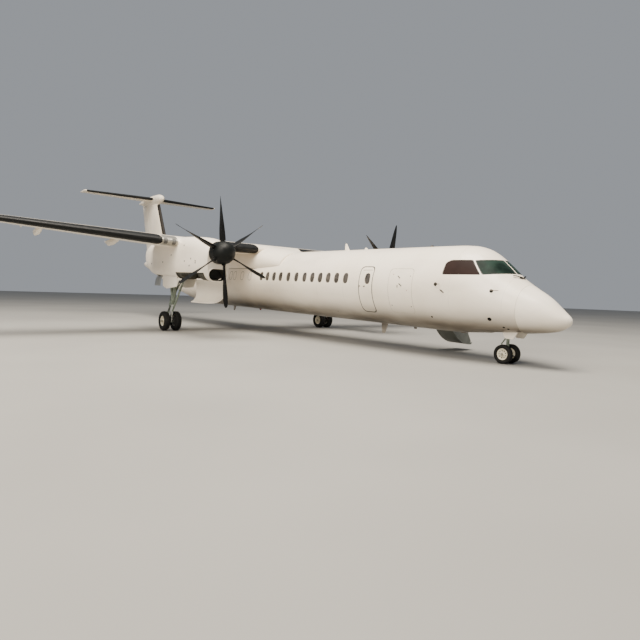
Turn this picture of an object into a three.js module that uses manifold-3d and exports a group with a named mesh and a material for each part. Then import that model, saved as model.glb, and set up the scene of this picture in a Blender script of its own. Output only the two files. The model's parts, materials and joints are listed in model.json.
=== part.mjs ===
// A 74-seat high-wing turboprop airliner, parked on its wheels with its airstair door open.
// Millimetres, +Z up, nose towards -Y, the aircraft's left (port) side towards +X.
// The airframe is drawn in its own axes and then set on the ground as one group:
// x is to port, y is the station aft of the nose tip, z is the height above the fuselage axis.
import * as THREE from 'three';
import { mergeVertices } from 'three/addons/utils/BufferGeometryUtils.js';
import Module from 'manifold-3d';

const wasm = await Module();
wasm.setup();

// Driving dimensions of the whole aircraft
const OVERALL_LENGTH = 32830;
const WING_SPAN = 28420;
const FUSELAGE_RADIUS = 1344;
const NACELLE_OFFSET = 4395;
const NOSE_GEAR_STATION = 1780;
const MAIN_GEAR_STATION = 15720;

// How the airframe sits on the ground, slightly nose down
const GROUND_PITCH = Math.atan(0.0214);
const AXIS_HEIGHT_AT_NOSE = 2053;
const MIDDLE_STATION = 16364.9;

// Gaps: between faces that touch, behind a panel, round a panel, round a part that moves, and
// at the ends of a control surface
const TOUCH = 0.3;
const SEAT_GAP = 3;
const PANEL_GAP = 4;
const RUNNING_GAP = 8;
const END_GAP = 12;

// Height in the airframe's axes of a point that is a given height above the ground
function aboveGround(height, station) {
  return (height - AXIS_HEIGHT_AT_NOSE - station * Math.sin(GROUND_PITCH)) / Math.cos(GROUND_PITCH);
}

// Solids

function solid(geometry) {
  const bare = geometry.clone();
  bare.deleteAttribute('normal');
  bare.deleteAttribute('uv');
  const merged = mergeVertices(bare, 1e-3);
  const index = merged.index.array;
  const triVerts = [];
  for (let i = 0; i < index.length; i += 3) {
    const [a, b, c] = [index[i], index[i + 1], index[i + 2]];
    if (a !== b && b !== c && c !== a) triVerts.push(a, b, c);
  }
  const vertProperties = Float32Array.from(merged.attributes.position.array);
  const mesh = new wasm.Mesh({ numProp: 3, vertProperties, triVerts: Uint32Array.from(triVerts) });
  return new wasm.Manifold(mesh);
}

function geometryOf(body) {
  const mesh = body.getMesh();
  const geometry = new THREE.BufferGeometry();
  geometry.setAttribute('position', new THREE.BufferAttribute(Float32Array.from(mesh.vertProperties), 3));
  geometry.setIndex(Array.from(mesh.triVerts));
  return geometry;
}

// Turns a mesh whose faces point inwards the right way out
function facingOut(geometry) {
  const position = geometry.attributes.position;
  const index = geometry.index.array;
  const [a, b, c] = [new THREE.Vector3(), new THREE.Vector3(), new THREE.Vector3()];
  let volume = 0;
  for (let i = 0; i < index.length; i += 3) {
    a.fromBufferAttribute(position, index[i]);
    b.fromBufferAttribute(position, index[i + 1]);
    c.fromBufferAttribute(position, index[i + 2]);
    volume += a.dot(b.cross(c));
  }
  if (volume < 0) {
    for (let i = 0; i < index.length; i += 3) [index[i], index[i + 1]] = [index[i + 1], index[i]];
  }
  return geometry;
}

// Skin through closed rings of equal point counts, with a flat face on each end
function loft(rings) {
  const count = rings[0].length;
  const index = [];
  for (let ring = 0; ring + 1 < rings.length; ring += 1) {
    for (let j = 0; j < count; j += 1) {
      const a = ring * count + j;
      const b = ring * count + ((j + 1) % count);
      index.push(a, b, b + count, a, b + count, a + count);
    }
  }
  for (const end of [0, rings.length - 1]) {
    const flat = flattened(rings[end]);
    for (const [a, b, c] of THREE.ShapeUtils.triangulateShape(flat, [])) {
      const corners = [end * count + a, end * count + b, end * count + c];
      index.push(...(end === 0 ? corners.reverse() : corners));
    }
  }
  const geometry = new THREE.BufferGeometry();
  geometry.setAttribute('position', new THREE.Float32BufferAttribute(rings.flat(2), 3));
  geometry.setIndex(index);
  return facingOut(consistentCaps(geometry, rings));
}

// The ring drawn in the plane that it spans most
function flattened(ring) {
  const spans = [0, 1, 2].map((k) => Math.max(...ring.map((p) => p[k])) - Math.min(...ring.map((p) => p[k])));
  const thin = spans.indexOf(Math.min(...spans));
  const [u, v] = [0, 1, 2].filter((k) => k !== thin);
  return ring.map((p) => new THREE.Vector2(p[u], p[v]));
}

// End faces are turned so that each shares its edges with the skin in the opposite sense
function consistentCaps(geometry, rings) {
  const index = geometry.index.array;
  const skin = (rings.length - 1) * rings[0].length * 6;
  const edges = new Set();
  for (let i = 0; i < skin; i += 3) {
    for (let k = 0; k < 3; k += 1) edges.add(`${index[i + k]}>${index[i + ((k + 1) % 3)]}`);
  }
  let i = skin;
  for (const end of [0, rings.length - 1]) {
    const faces = (rings[end].length - 2) * 3;
    let same = 0;
    for (let j = i; j < i + faces; j += 3) {
      for (let k = 0; k < 3; k += 1) same += edges.has(`${index[j + k]}>${index[j + ((k + 1) % 3)]}`);
    }
    for (let j = i; same > 0 && j < i + faces; j += 3) [index[j], index[j + 1]] = [index[j + 1], index[j]];
    i += faces;
  }
  return geometry;
}

function mirrored(geometry) {
  const copy = geometry.clone();
  copy.scale(-1, 1, 1);
  return facingOut(copy);
}

// Plain box from its lowest and highest corners
function box([x0, y0, z0], [x1, y1, z1]) {
  const geometry = new THREE.BoxGeometry(x1 - x0, y1 - y0, z1 - z0);
  geometry.translate((x0 + x1) / 2, (y0 + y1) / 2, (z0 + z1) / 2);
  return solid(geometry);
}

// Round bar between two points
function bar(from, to, radius, endRadius = radius, sides = 10) {
  const a = new THREE.Vector3(...from);
  const b = new THREE.Vector3(...to);
  const geometry = new THREE.CylinderGeometry(endRadius, radius, a.distanceTo(b), sides);
  const along = b.clone().sub(a).normalize();
  const turn = new THREE.Quaternion().setFromUnitVectors(new THREE.Vector3(0, 1, 0), along);
  geometry.applyQuaternion(turn);
  geometry.translate((a.x + b.x) / 2, (a.y + b.y) / 2, (a.z + b.z) / 2);
  return solid(geometry);
}

// Plate cut to a side-view outline of [station, height] points, from one x to another
function sidePlate(outline, x0, x1) {
  return solid(loft([x0, x1].map((x) => outline.map(([y, z]) => [x, y, z]))));
}

// Side-view rectangle with rounded corners
function roundedOutline(y0, y1, z0, z1, radius, steps = 3) {
  const corners = [[y1, z1, 0], [y0, z1, 1], [y0, z0, 2], [y1, z0, 3]];
  return corners.flatMap(([y, z, quarter]) => {
    const yc = y + (y === y1 ? -radius : radius);
    const zc = z + (z === z1 ? -radius : radius);
    return Array.from({ length: steps + 1 }, (_, k) => {
      const angle = (quarter + k / steps) * Math.PI / 2;
      return [yc + radius * Math.cos(angle), zc + radius * Math.sin(angle)];
    });
  });
}

function joined(parts) {
  return parts.reduce((whole, part) => whole.add(part));
}

// The body without the loose slivers that a cut along a facet can leave
function largest(body) {
  return body.decompose().reduce((a, b) => (a.volume() > b.volume() ? a : b));
}

// Body cross-section with its widest place between top and bottom. An exponent of 2 is an
// ellipse above and below the waist, and a higher one is squarer.
function bodyRing({ station, top, bottom, half, waist, square = 2, centre = 0 }, sides, inset = 0) {
  const power = 2 / square;
  return Array.from({ length: sides }, (_, k) => {
    const angle = (k + 0.5) / sides * 2 * Math.PI;
    const across = Math.sign(Math.cos(angle)) * Math.abs(Math.cos(angle)) ** power;
    const up = Math.sign(Math.sin(angle)) * Math.abs(Math.sin(angle)) ** power;
    const reach = up > 0 ? top - waist : waist - bottom;
    return [centre + across * (half - inset), station, waist + up * (reach - inset)];
  });
}

function rows(columns, table) {
  return table.map((row) => Object.fromEntries(columns.map((name, k) => [name, row[k]])));
}

// Whole tapered body from its table. Every cut of it shares the same facets, so that a
// panel and its recess match.
function bodyOf(table, sides, inset = 0) {
  return solid(loft(table.map((row) => bodyRing(row, sides, inset))));
}

// The slice of a body between two stations
function slice(body, start, end) {
  const beyond = 4000;
  return body.intersect(box([-beyond, start, -beyond], [beyond, end, beyond]));
}

// Fuselage

const FUSELAGE_SIDES = 36;
const RADOME_END = 1180;
const FORWARD_SECTION_END = 7050;
const CABIN_SECTION_END = 19600;
const TAIL_CONE_END = 31250;

const FUSELAGE = rows(['station', 'top', 'bottom', 'half', 'waist'], [
  [0, -712, -792, 42, -752],
  [45, -632, -862, 132, -745],
  [150, -545, -945, 240, -730],
  [330, -390, -1035, 365, -705],
  [650, -130, -1103, 545, -640],
  [1050, 105, -1155, 725, -550],
  [1400, 315, -1195, 860, -450],
  [1620, 470, -1213, 935, -400],
  [1850, 680, -1230, 1005, -340],
  [2150, 930, -1247, 1082, -270],
  [2400, 1110, -1262, 1137, -215],
  [2650, 1232, -1282, 1182, -165],
  [3000, 1314, -1312, 1238, -110],
  [3500, 1341, -1336, 1295, -50],
  [4300, FUSELAGE_RADIUS, -FUSELAGE_RADIUS, FUSELAGE_RADIUS, 0],
  [19800, FUSELAGE_RADIUS, -FUSELAGE_RADIUS, FUSELAGE_RADIUS, 0],
  [21500, 1344, -1230, 1320, 60],
  [23500, 1335, -900, 1230, 210],
  [25500, 1310, -480, 1050, 420],
  [27500, 1270, -30, 790, 640],
  [29200, 1210, 350, 530, 800],
  [30600, 1130, 660, 280, 900],
  [TAIL_CONE_END, 1050, 800, 110, 925],
]);

// Panels that lie flush in the fuselage skin: side is -1 to starboard and 1 to port
const SKIN_PANEL_DEPTH = 45;
const SKIN_PANELS = rows(['name', 'side', 'start', 'end', 'low', 'high', 'corner'], [
  ['forward_emergency_exit', -1, 6120, 6750, -900, 620, 130],
  ['forward_baggage_door', -1, 4360, 5360, -840, 560, 110],
  ['aft_passenger_door', 1, 20150, 20910, -880, 870, 150],
  ['aft_service_door', -1, 20150, 20840, -700, 700, 150],
  ['aft_baggage_door', 1, 22400, 23700, -560, 800, 130],
]);

// Cockpit glass by side-view outline, cut from the skin on each side
const GLASS_DEPTH = 30;
const SIDE_WINDOW_OUTLINE = [[2234, 417], [3310, 406], [3310, 757], [3168, 831], [2591, 835]];
const WINDSCREEN_OUTLINE = [[1600, 490], [2164, 434], [2507, 830], [2000, 864]];
const WINDSCREEN_INNER_EDGE = 45;
const WINDSCREEN_OUTER_EDGE = 985;

// Entry: the doorway, the vestibule behind it and the airstair door in the open position
const DOORWAY = { start: 4560, end: 5290, low: -1000, high: 720, corner: 130 };
const DOORWAY_FRAME_CORNER = 85;
const VESTIBULE = { start: 4500, end: 5350, low: -985, high: 790, depth: 60, wall: 70 };
const AIRSTAIR_HINGE = { x: 905, z: -1006 };
const AIRSTAIR_OPEN = 114.5;
const AIRSTAIR_SKIN = 60;
const AIRSTAIR_WALL = {
  heights: [-880, -600, -300, 0, 300, 560],
  innerEdge: [[1080, 600], [1063, 560], [860, 250], [840, 0], [810, -300], [790, -600], [800, -880]],
  fromStart: 45,
  fromEnd: 75,
  thick: 30,
};
const AIRSTAIR_TREADS = { count: 4, first: [230, -60], run: 255, rise: 150, depth: 235, thick: 30 };

const NOSE_BAY = { start: 1190, end: 2330, half: 300, roof: -620 };

const fuselageBody = bodyOf(FUSELAGE, FUSELAGE_SIDES);

// What a cut takes from the skin down to a depth, and from the air outside it
function downTo(depth, cut) {
  return cut.subtract(bodyOf(FUSELAGE, FUSELAGE_SIDES, depth));
}

function sideCut(outline, side) {
  const beyond = 2000;
  return sidePlate(outline, Math.min(0, side * beyond), Math.max(0, side * beyond));
}

function panelOutline({ start, end, low, high, corner }, grow) {
  return roundedOutline(start - grow, end + grow, low - grow, high + grow, corner + grow);
}

function grownOutline(outline, grow) {
  const yc = outline.reduce((sum, p) => sum + p[0], 0) / outline.length;
  const zc = outline.reduce((sum, p) => sum + p[1], 0) / outline.length;
  return outline.map(([y, z]) => {
    const reach = Math.hypot(y - yc, z - zc);
    return [y + (y - yc) / reach * grow, z + (z - zc) / reach * grow];
  });
}

function windscreenCut(side, grow) {
  const inner = side * (WINDSCREEN_INNER_EDGE - grow);
  const outer = side * (WINDSCREEN_OUTER_EDGE + grow);
  return sidePlate(grownOutline(WINDSCREEN_OUTLINE, grow), Math.min(inner, outer), Math.max(inner, outer));
}

function cockpitGlass() {
  const panes = {};
  for (const [word, side] of [['left', 1], ['right', -1]]) {
    panes[`windscreen_${word}`] = fuselageBody.intersect(downTo(GLASS_DEPTH, windscreenCut(side, 0)));
    const sideWindow = sideCut(SIDE_WINDOW_OUTLINE, side);
    panes[`cockpit_side_window_${word}`] = fuselageBody.intersect(downTo(GLASS_DEPTH, sideWindow));
  }
  return panes;
}

function cockpitRecesses() {
  const cuts = [1, -1].flatMap((side) => [
    windscreenCut(side, PANEL_GAP),
    sideCut(grownOutline(SIDE_WINDOW_OUTLINE, PANEL_GAP), side),
  ]);
  return downTo(GLASS_DEPTH + SEAT_GAP, joined(cuts));
}

function skinPanel(panel) {
  return fuselageBody.intersect(downTo(SKIN_PANEL_DEPTH, sideCut(panelOutline(panel, 0), panel.side)));
}

function skinRecess(panel) {
  return downTo(SKIN_PANEL_DEPTH + SEAT_GAP, sideCut(panelOutline(panel, PANEL_GAP), panel.side));
}

function radome() {
  return slice(fuselageBody, -1, RADOME_END);
}

// Blade aerials: up is 1 on the crown and -1 on the belly, rake is how far the tip trails
const AERIALS = rows(['station', 'root', 'tip', 'rake', 'height', 'up'], [
  [8804, 295, 90, 190, 267, 1],
  [7780, 190, 110, 60, 70, 1],
  [6524, 350, 150, 140, 350, -1],
  [17600, 300, 150, 130, 240, -1],
]);

function bladeAerial({ station, root, tip, rake, height, up }) {
  const foot = up * (FUSELAGE_RADIUS - 20);
  const end = up * (FUSELAGE_RADIUS + height);
  const ring = (z, start, chord, thick) => [[0, start], [thick, start + chord * 0.35], [0, start + chord],
    [-thick, start + chord * 0.35]].map(([x, y]) => [x, y, z]);
  return solid(loft([ring(foot, station, root, 22), ring(end, station + rake, tip, 10)]));
}

function aerialsBetween(start, end) {
  return AERIALS.filter(({ station }) => station > start && station < end).map(bladeAerial);
}

function forwardFuselage() {
  const section = slice(fuselageBody, RADOME_END + TOUCH, FORWARD_SECTION_END);
  const doorway = sideCut(panelOutline({ ...DOORWAY, corner: DOORWAY_FRAME_CORNER }, RUNNING_GAP), 1);
  const room = box([VESTIBULE.depth, VESTIBULE.start, VESTIBULE.low], [2000, VESTIBULE.end, VESTIBULE.high]);
  const vestibule = room.intersect(bodyOf(FUSELAGE, FUSELAGE_SIDES, VESTIBULE.wall));
  const wheelBay = box([-NOSE_BAY.half, NOSE_BAY.start, -1500], [NOSE_BAY.half, NOSE_BAY.end, NOSE_BAY.roof]);
  const recesses = SKIN_PANELS.filter((panel) => panel.end < FORWARD_SECTION_END).map(skinRecess);
  const beyondVestibule = box([VESTIBULE.depth, 0, -2000], [3000, 9000, 2000]);
  return largest(section
    .subtract(joined([vestibule, wheelBay, ...recesses]))
    .subtract(doorway.intersect(beyondVestibule))
    .subtract(cockpitRecesses())
    .add(jackPad(JACK_PAD.noseStation, JACK_PAD.noseHeight))
    .add(joined(aerialsBetween(0, FORWARD_SECTION_END))));
}

function cabinFuselage() {
  const section = slice(fuselageBody, FORWARD_SECTION_END + TOUCH, CABIN_SECTION_END);
  return joined([section, ...aerialsBetween(FORWARD_SECTION_END, CABIN_SECTION_END)]).subtract(wingShape(3));
}

function aftFuselage() {
  const section = slice(fuselageBody, CABIN_SECTION_END + TOUCH, TAIL_CONE_END + 1);
  const recesses = SKIN_PANELS.filter((panel) => panel.start > CABIN_SECTION_END).map(skinRecess);
  return largest(section.subtract(joined(recesses)));
}

// Airstair door, drawn closed about its sill hinge: the skin, a side wall along each edge and
// treads between the walls. The treads are drawn level, as they are when the door is open.
function airstairDoor() {
  const skin = fuselageBody.intersect(downTo(AIRSTAIR_SKIN, sideCut(panelOutline(DOORWAY, 0), 1)));
  const innerFace = (z) => Math.sqrt((FUSELAGE_RADIUS - AIRSTAIR_SKIN) ** 2 - z * z);
  const { heights, innerEdge, fromStart, fromEnd, thick: wallThick } = AIRSTAIR_WALL;
  const intoSkin = 25;
  const wallOutline = [...heights.map((z) => [innerFace(z) + intoSkin, z]), ...innerEdge];
  const walls = [DOORWAY.start + fromStart, DOORWAY.end - fromEnd].map((y) => (
    solid(loft([y, y + wallThick].map((station) => wallOutline.map(([x, z]) => [x, station, z]))))
  ));
  const { count, first, run, rise, depth, thick } = AIRSTAIR_TREADS;
  const treads = Array.from({ length: count }, (_, k) => {
    const [x, z] = [first[0] + k * run, first[1] - k * rise];
    return box([x, DOORWAY.start + 60, z - thick], [x + depth, DOORWAY.end - 60, z]);
  });
  const closedTreads = joined(treads)
    .rotate([0, -AIRSTAIR_OPEN, 0])
    .translate([AIRSTAIR_HINGE.x, 0, AIRSTAIR_HINGE.z]);
  return joined([skin, closedTreads, ...walls]);
}

// Wings and tail surfaces

// Half-thickness and mean line of the aerofoil, both as parts of the chord
function aerofoil(x, thickness, camber) {
  const root = 0.2969 * Math.sqrt(x);
  const half = 5 * thickness * (root - 0.126 * x - 0.3516 * x ** 2 + 0.2843 * x ** 3 - 0.1005 * x ** 4);
  return { half, mean: 4 * camber * x * (1 - x) };
}

// Point of a surface section: x along the chord and z across it, as parts of the chord
function surfacePoint(section, x, z) {
  const station = section.lead + x * section.chord;
  const across = z * section.chord;
  if (section.upright) return [across, station, section.span];
  return [section.span, station, section.height + across];
}

const CHORD_STEPS = [0, 0.006, 0.025, 0.06, 0.12, 0.22, 0.36, 0.52, 0.68, 0.84, 1];

// Closed ring of a section between two parts of the chord, thickened all round by grow mm
function foilRing(section, from = 0, to = 1, grow = 0) {
  const inside = CHORD_STEPS.filter((x) => x > from && x < to);
  const along = [from, ...inside, to];
  const extra = grow / section.chord;
  const at = (x, sign) => {
    const { half, mean } = aerofoil(x, section.thickness, section.camber);
    const beyondEnd = (x === to ? extra : 0) - (x === from ? extra : 0);
    return surfacePoint(section, x + beyondEnd, mean + sign * (half + extra));
  };
  const upper = along.map((x) => at(x, 1)).reverse();
  const lower = along.map((x) => at(x, -1));
  if (from === 0 && grow === 0) lower.shift();
  return [...upper, ...lower];
}

// Centre and radius of a control surface's round nose
function hingeCircle(section, hinge) {
  const { half, mean } = aerofoil(hinge, section.thickness, section.camber);
  return { radius: half, mean };
}

// Control surface: the tail of the section behind a round nose on the hinge line
function controlRing(section, hinge) {
  const { radius, mean } = hingeCircle(section, hinge);
  const along = [hinge, ...CHORD_STEPS.filter((x) => x > hinge + 0.02)];
  const at = (x, sign) => {
    const foil = aerofoil(x, section.thickness, section.camber);
    return surfacePoint(section, x, foil.mean + sign * foil.half);
  };
  const nose = [-60, -30, 0, 30, 60].map((degrees) => {
    const angle = THREE.MathUtils.degToRad(degrees);
    return surfacePoint(section, hinge - radius * Math.cos(angle), mean + radius * Math.sin(angle));
  });
  return [...along.map((x) => at(x, 1)).reverse(), ...nose.reverse(), ...along.map((x) => at(x, -1))];
}

// What the fixed surface loses for a control surface: its round nose with running clearance
function coveRing(section, hinge) {
  const { radius, mean } = hingeCircle(section, hinge);
  const clear = radius + RUNNING_GAP / section.chord;
  const lip = THREE.MathUtils.degToRad(62);
  const beyond = 0.3;
  const nose = [-1, -0.6, -0.2, 0.2, 0.6, 1].map((part) => (
    surfacePoint(section, hinge - clear * Math.cos(part * lip), mean + clear * Math.sin(part * lip))
  ));
  const edge = hinge - clear * Math.cos(lip);
  return [
    ...nose.reverse(),
    surfacePoint(section, edge, -beyond),
    surfacePoint(section, 1 + beyond, -beyond),
    surfacePoint(section, 1 + beyond, beyond),
    surfacePoint(section, edge, beyond),
  ];
}

function between(a, b, part) {
  return Object.fromEntries(Object.keys(a).map((key) => {
    return [key, typeof a[key] === 'number' ? a[key] + part * (b[key] - a[key]) : a[key]];
  }));
}

function sectionAtSpan([root, tip], span) {
  return between(root, tip, (span - root.span) / (tip.span - root.span));
}

// Wing: constant chord to just outboard of the nacelles, then straight taper to the tip
const WING_LEAD = 13650;
const WING_CHORD = 2750;
const WING_HEIGHT = 1415;
const WING_BREAK = 4900;
const TIP_CHORD = 1200;
const TIP_SWEEP = 470;
const DIHEDRAL = Math.tan(THREE.MathUtils.degToRad(2.5));
const FLAP_HINGE = 0.74;
const AILERON_HINGE = 0.76;
const TIP_ROUNDING = 170;

const WING_ROOT = {
  span: 0, lead: WING_LEAD, chord: WING_CHORD, height: WING_HEIGHT, thickness: 0.18, camber: 0.02,
};
const WING_KINK = { ...WING_ROOT, span: WING_BREAK };
const WING_TIP = {
  span: WING_SPAN / 2 - TIP_ROUNDING,
  lead: WING_LEAD + TIP_SWEEP,
  chord: TIP_CHORD,
  height: WING_HEIGHT + (WING_SPAN / 2 - TIP_ROUNDING - WING_BREAK) * DIHEDRAL,
  thickness: 0.13,
  camber: 0.02,
};
const INNER_FLAP = { start: 1480, end: 3740 };
const OUTER_FLAP = { start: 5080, end: 10150 };
const AILERON = { start: 10220, end: 13560 };
const FLAP_FAIRINGS = [2700, 7070, 9790];
const FLAP_FAIRING_SHAPE = rows(['part', 'half', 'depth'], [
  [0, 12, 20],
  [0.12, 70, 110],
  [0.4, 105, 210],
  [0.7, 95, 240],
  [1, 14, 90],
]);

function wingShape(grow) {
  const sections = [-WING_BREAK, WING_BREAK].map((span) => ({ ...WING_ROOT, span }));
  return solid(loft(sections.map((section) => foilRing(section, 0, 1, grow))));
}

// Room for the wing where it runs through a nacelle, a little past the inner wing's end
function wingRoom(grow) {
  const outboard = sectionAtSpan([WING_KINK, WING_TIP], WING_BREAK + 400);
  const port = [WING_KINK, outboard].map((section) => foilRing(section, 0, 1, grow));
  const outer = solid(loft(port));
  return joined([wingShape(grow), outer, solid(mirrored(geometryOf(outer)))]);
}

// Canoe under the wing that covers a flap track
function flapFairing(span, section) {
  const start = section.lead + section.chord * 0.3;
  const end = section.lead + section.chord * 1.08;
  const under = section.height - section.chord * 0.05;
  return solid(loft(FLAP_FAIRING_SHAPE.map(({ part, half, depth }) => bodyRing({
    station: start + part * (end - start), top: under + 60 - part * 70, bottom: under - depth,
    half, waist: under - depth * 0.4, centre: span,
  }, 10))));
}

function rearCut(pair, zone, shape, gap) {
  const sections = [zone.start - gap, zone.end + gap].map((span) => sectionAtSpan(pair, span));
  return solid(loft(sections.map(shape)));
}

function flapCut(section) {
  const start = FLAP_HINGE - 6 / section.chord;
  return [[start, -0.3], [1.3, -0.3], [1.3, 0.3], [start, 0.3]].map(([x, z]) => surfacePoint(section, x, z));
}

function innerWing() {
  const pair = [WING_ROOT, WING_KINK];
  const cut = rearCut(pair, INNER_FLAP, flapCut, PANEL_GAP);
  const both = joined([cut, solid(mirrored(geometryOf(cut)))]);
  const inboard = FLAP_FAIRINGS.filter((span) => span < WING_BREAK);
  const tracks = inboard.map((span) => flapFairing(span, WING_ROOT));
  const fairings = joined(tracks.flatMap((track) => [track, solid(mirrored(geometryOf(track)))]));
  const flaps = joined([innerFlap(TOUCH), solid(mirrored(geometryOf(innerFlap(TOUCH))))]);
  return wingShape(0).subtract(both).add(fairings.subtract(flaps));
}

function flapPiece(pair, zone, grow) {
  const sections = [zone.start - grow, zone.end + grow].map((span) => sectionAtSpan(pair, span));
  return solid(loft(sections.map((section) => foilRing(section, FLAP_HINGE, 1, grow))));
}

function innerFlap(grow = 0) {
  return flapPiece([WING_ROOT, WING_KINK], INNER_FLAP, grow);
}

function outerFlap(grow = 0) {
  return flapPiece([WING_KINK, WING_TIP], OUTER_FLAP, grow);
}

function outerWing() {
  const pair = [WING_KINK, WING_TIP];
  const start = { ...sectionAtSpan(pair, WING_BREAK + TOUCH) };
  const rounded = {
    ...WING_TIP, span: WING_SPAN / 2, lead: WING_TIP.lead + 260, chord: TIP_CHORD - 420, thickness: 0.05,
    height: WING_TIP.height + 20,
  };
  const skin = solid(loft([start, WING_TIP, rounded].map((section) => foilRing(section))));
  const tracks = FLAP_FAIRINGS.filter((span) => span > WING_BREAK);
  const fairings = joined(tracks.map((span) => flapFairing(span, sectionAtSpan(pair, span))));
  return skin
    .subtract(rearCut(pair, OUTER_FLAP, flapCut, PANEL_GAP))
    .subtract(rearCut(pair, AILERON, (section) => coveRing(section, AILERON_HINGE), END_GAP))
    .add(fairings.subtract(outerFlap(TOUCH)));
}

function aileron() {
  const sections = [AILERON.start, AILERON.end].map((span) => sectionAtSpan([WING_KINK, WING_TIP], span));
  return solid(loft(sections.map((section) => controlRing(section, AILERON_HINGE))));
}

// Saddle that fairs the wing into the crown of the fuselage, down to a level lower edge
const FAIRING_EDGE = 565;

function wingFuselageFairing() {
  const shape = rows(['station', 'top', 'bottom', 'half', 'waist', 'square'], [
    [11950, 1330, 300, 1150, 690, 2.0],
    [12740, 1476, 200, 1225, 780, 2.1],
    [13530, 1580, 164, 1275, 850, 2.35],
    [14360, 1662, 164, 1292, 890, 2.6],
    [15000, 1712, 164, 1290, 900, 2.7],
    [16100, 1716, 164, 1290, 900, 2.7],
    [17400, 1590, 170, 1285, 890, 2.5],
    [18600, 1440, 220, 1260, 800, 2.2],
    [19400, 1330, 300, 1150, 690, 2.0],
  ]);
  const saddle = solid(loft(shape.map((row) => bodyRing(row, 28))));
  const fuselage = bodyOf(FUSELAGE, FUSELAGE_SIDES, -1);
  const below = box([-3000, 11000, -2000], [3000, 20000, FAIRING_EDGE]);
  return saddle.subtract(joined([fuselage, below, wingShape(1)]));
}

// Fin, rudders and tailplane

const TAILPLANE_HEIGHT = 5430;
const FIN_LEAD = 26752;
const FIN_TRAIL = 30781;
const FIN_SWEEP = 0.5497;
const FIN_TRAIL_SWEEP = 0.3254;
const FIN_BASE_HEIGHT = 1250;
const RUDDER_HINGE = 0.66;
const RUDDER_TAB_HINGE = 0.83;
const ELEVATOR_HINGE = 0.66;

// Fin section at a height above the fuselage axis
function finSection(height) {
  const lead = FIN_LEAD + FIN_SWEEP * (height - FIN_BASE_HEIGHT);
  const trail = FIN_TRAIL + FIN_TRAIL_SWEEP * (height - FIN_BASE_HEIGHT);
  return { upright: true, span: height, lead, chord: trail - lead, thickness: 0.11, camber: 0 };
}

const FIN_ROOT_HEIGHT = 900;
const FIN_TOP = 5280;
const RUDDER = { low: 1480, high: 5090 };
const RUDDER_END_GAP = 28;
const TAIL_LEAD = 29160;
const TAIL_ROOT_CHORD = 2050;
const TAIL_TIP_CHORD = 1320;
const TAIL_SPAN = 9270;
const TAIL_SWEEP = 460;
const BULLET = rows(['station', 'top', 'bottom', 'half', 'waist'], [
  [28250, 5510, 5340, 70, 5420],
  [28450, 5620, 5205, 195, 5425],
  [28900, 5715, 5095, 275, 5430],
  [29600, 5740, 5085, 298, 5430],
  [30800, 5715, 5135, 265, 5430],
  [31800, 5625, 5220, 170, 5430],
  [32500, 5525, 5330, 80, 5430],
  [OVERALL_LENGTH, 5465, 5395, 25, 5430],
]);

// Dorsal fillet: a thin wedge rising from the crown of the fuselage into the fin
function dorsalFillet() {
  const outline = [[22100, 1300], [27400, 1300], [27650, 2350], [26900, 2050], [25200, 1650]];
  return sidePlate(outline, -8, 8).add(
    solid(loft([1250, 2300].map((z) => {
      const part = (z - 1250) / 1050;
      const nose = 24200 + part * 3000;
      return [[0, nose], [140 - part * 60, 27300], [140 - part * 60, 28200], [-140 + part * 60, 28200],
        [-140 + part * 60, 27300]].map(([x, y]) => [x, y, z]);
    }))),
  );
}

function fin() {
  const body = solid(loft([FIN_ROOT_HEIGHT, FIN_TOP].map((height) => foilRing(finSection(height)))));
  const cove = [RUDDER.low - RUDDER_END_GAP, RUDDER.high + RUDDER_END_GAP].map(finSection);
  const bullet = solid(loft(BULLET.map((row) => bodyRing(row, 20))));
  return joined([body, dorsalFillet()])
    .subtract(solid(loft(cove.map((section) => coveRing(section, RUDDER_HINGE)))))
    .add(bullet)
    .subtract(joined([bodyOf(FUSELAGE, FUSELAGE_SIDES, -1), tailplaneShape(1)]));
}

function rudderFront() {
  const sections = [RUDDER.low, RUDDER.high].map(finSection);
  const whole = solid(loft(sections.map((section) => controlRing(section, RUDDER_HINGE))));
  const cove = [RUDDER.low - 50, RUDDER.high + 50].map(finSection);
  return whole.subtract(solid(loft(cove.map((section) => coveRing(section, RUDDER_TAB_HINGE)))));
}

function rudderRear() {
  const sections = [RUDDER.low, RUDDER.high].map(finSection);
  return solid(loft(sections.map((section) => controlRing(section, RUDDER_TAB_HINGE))));
}

const TAIL_ROOT = {
  span: 0, lead: TAIL_LEAD, chord: TAIL_ROOT_CHORD, height: TAILPLANE_HEIGHT, thickness: 0.12, camber: 0,
};
const TAIL_TIP = {
  span: TAIL_SPAN / 2 - 60, lead: TAIL_LEAD + TAIL_SWEEP, chord: TAIL_TIP_CHORD,
  height: TAILPLANE_HEIGHT, thickness: 0.11, camber: 0,
};
const ELEVATOR = { start: 330, end: 4440 };

// Last section of the tailplane's rounded tip
const TAIL_TIP_END = {
  ...TAIL_TIP, span: TAIL_SPAN / 2, lead: TAIL_TIP.lead + 120, chord: TAIL_TIP_CHORD - 180, thickness: 0.06,
};

function tailplaneShape(grow) {
  const starboard = [TAIL_TIP_END, TAIL_TIP].map((section) => ({ ...section, span: -section.span }));
  const sections = [...starboard, TAIL_ROOT, TAIL_TIP, TAIL_TIP_END];
  return solid(loft(sections.map((section) => foilRing(section, 0, 1, grow))));
}

function tailplane() {
  const pair = [TAIL_ROOT, TAIL_TIP];
  const cut = rearCut(pair, ELEVATOR, (section) => coveRing(section, ELEVATOR_HINGE), END_GAP);
  return tailplaneShape(0).subtract(joined([cut, solid(mirrored(geometryOf(cut)))]));
}

function elevator() {
  const sections = [ELEVATOR.start, ELEVATOR.end].map((span) => sectionAtSpan([TAIL_ROOT, TAIL_TIP], span));
  return solid(loft(sections.map((section) => controlRing(section, ELEVATOR_HINGE))));
}

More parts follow.
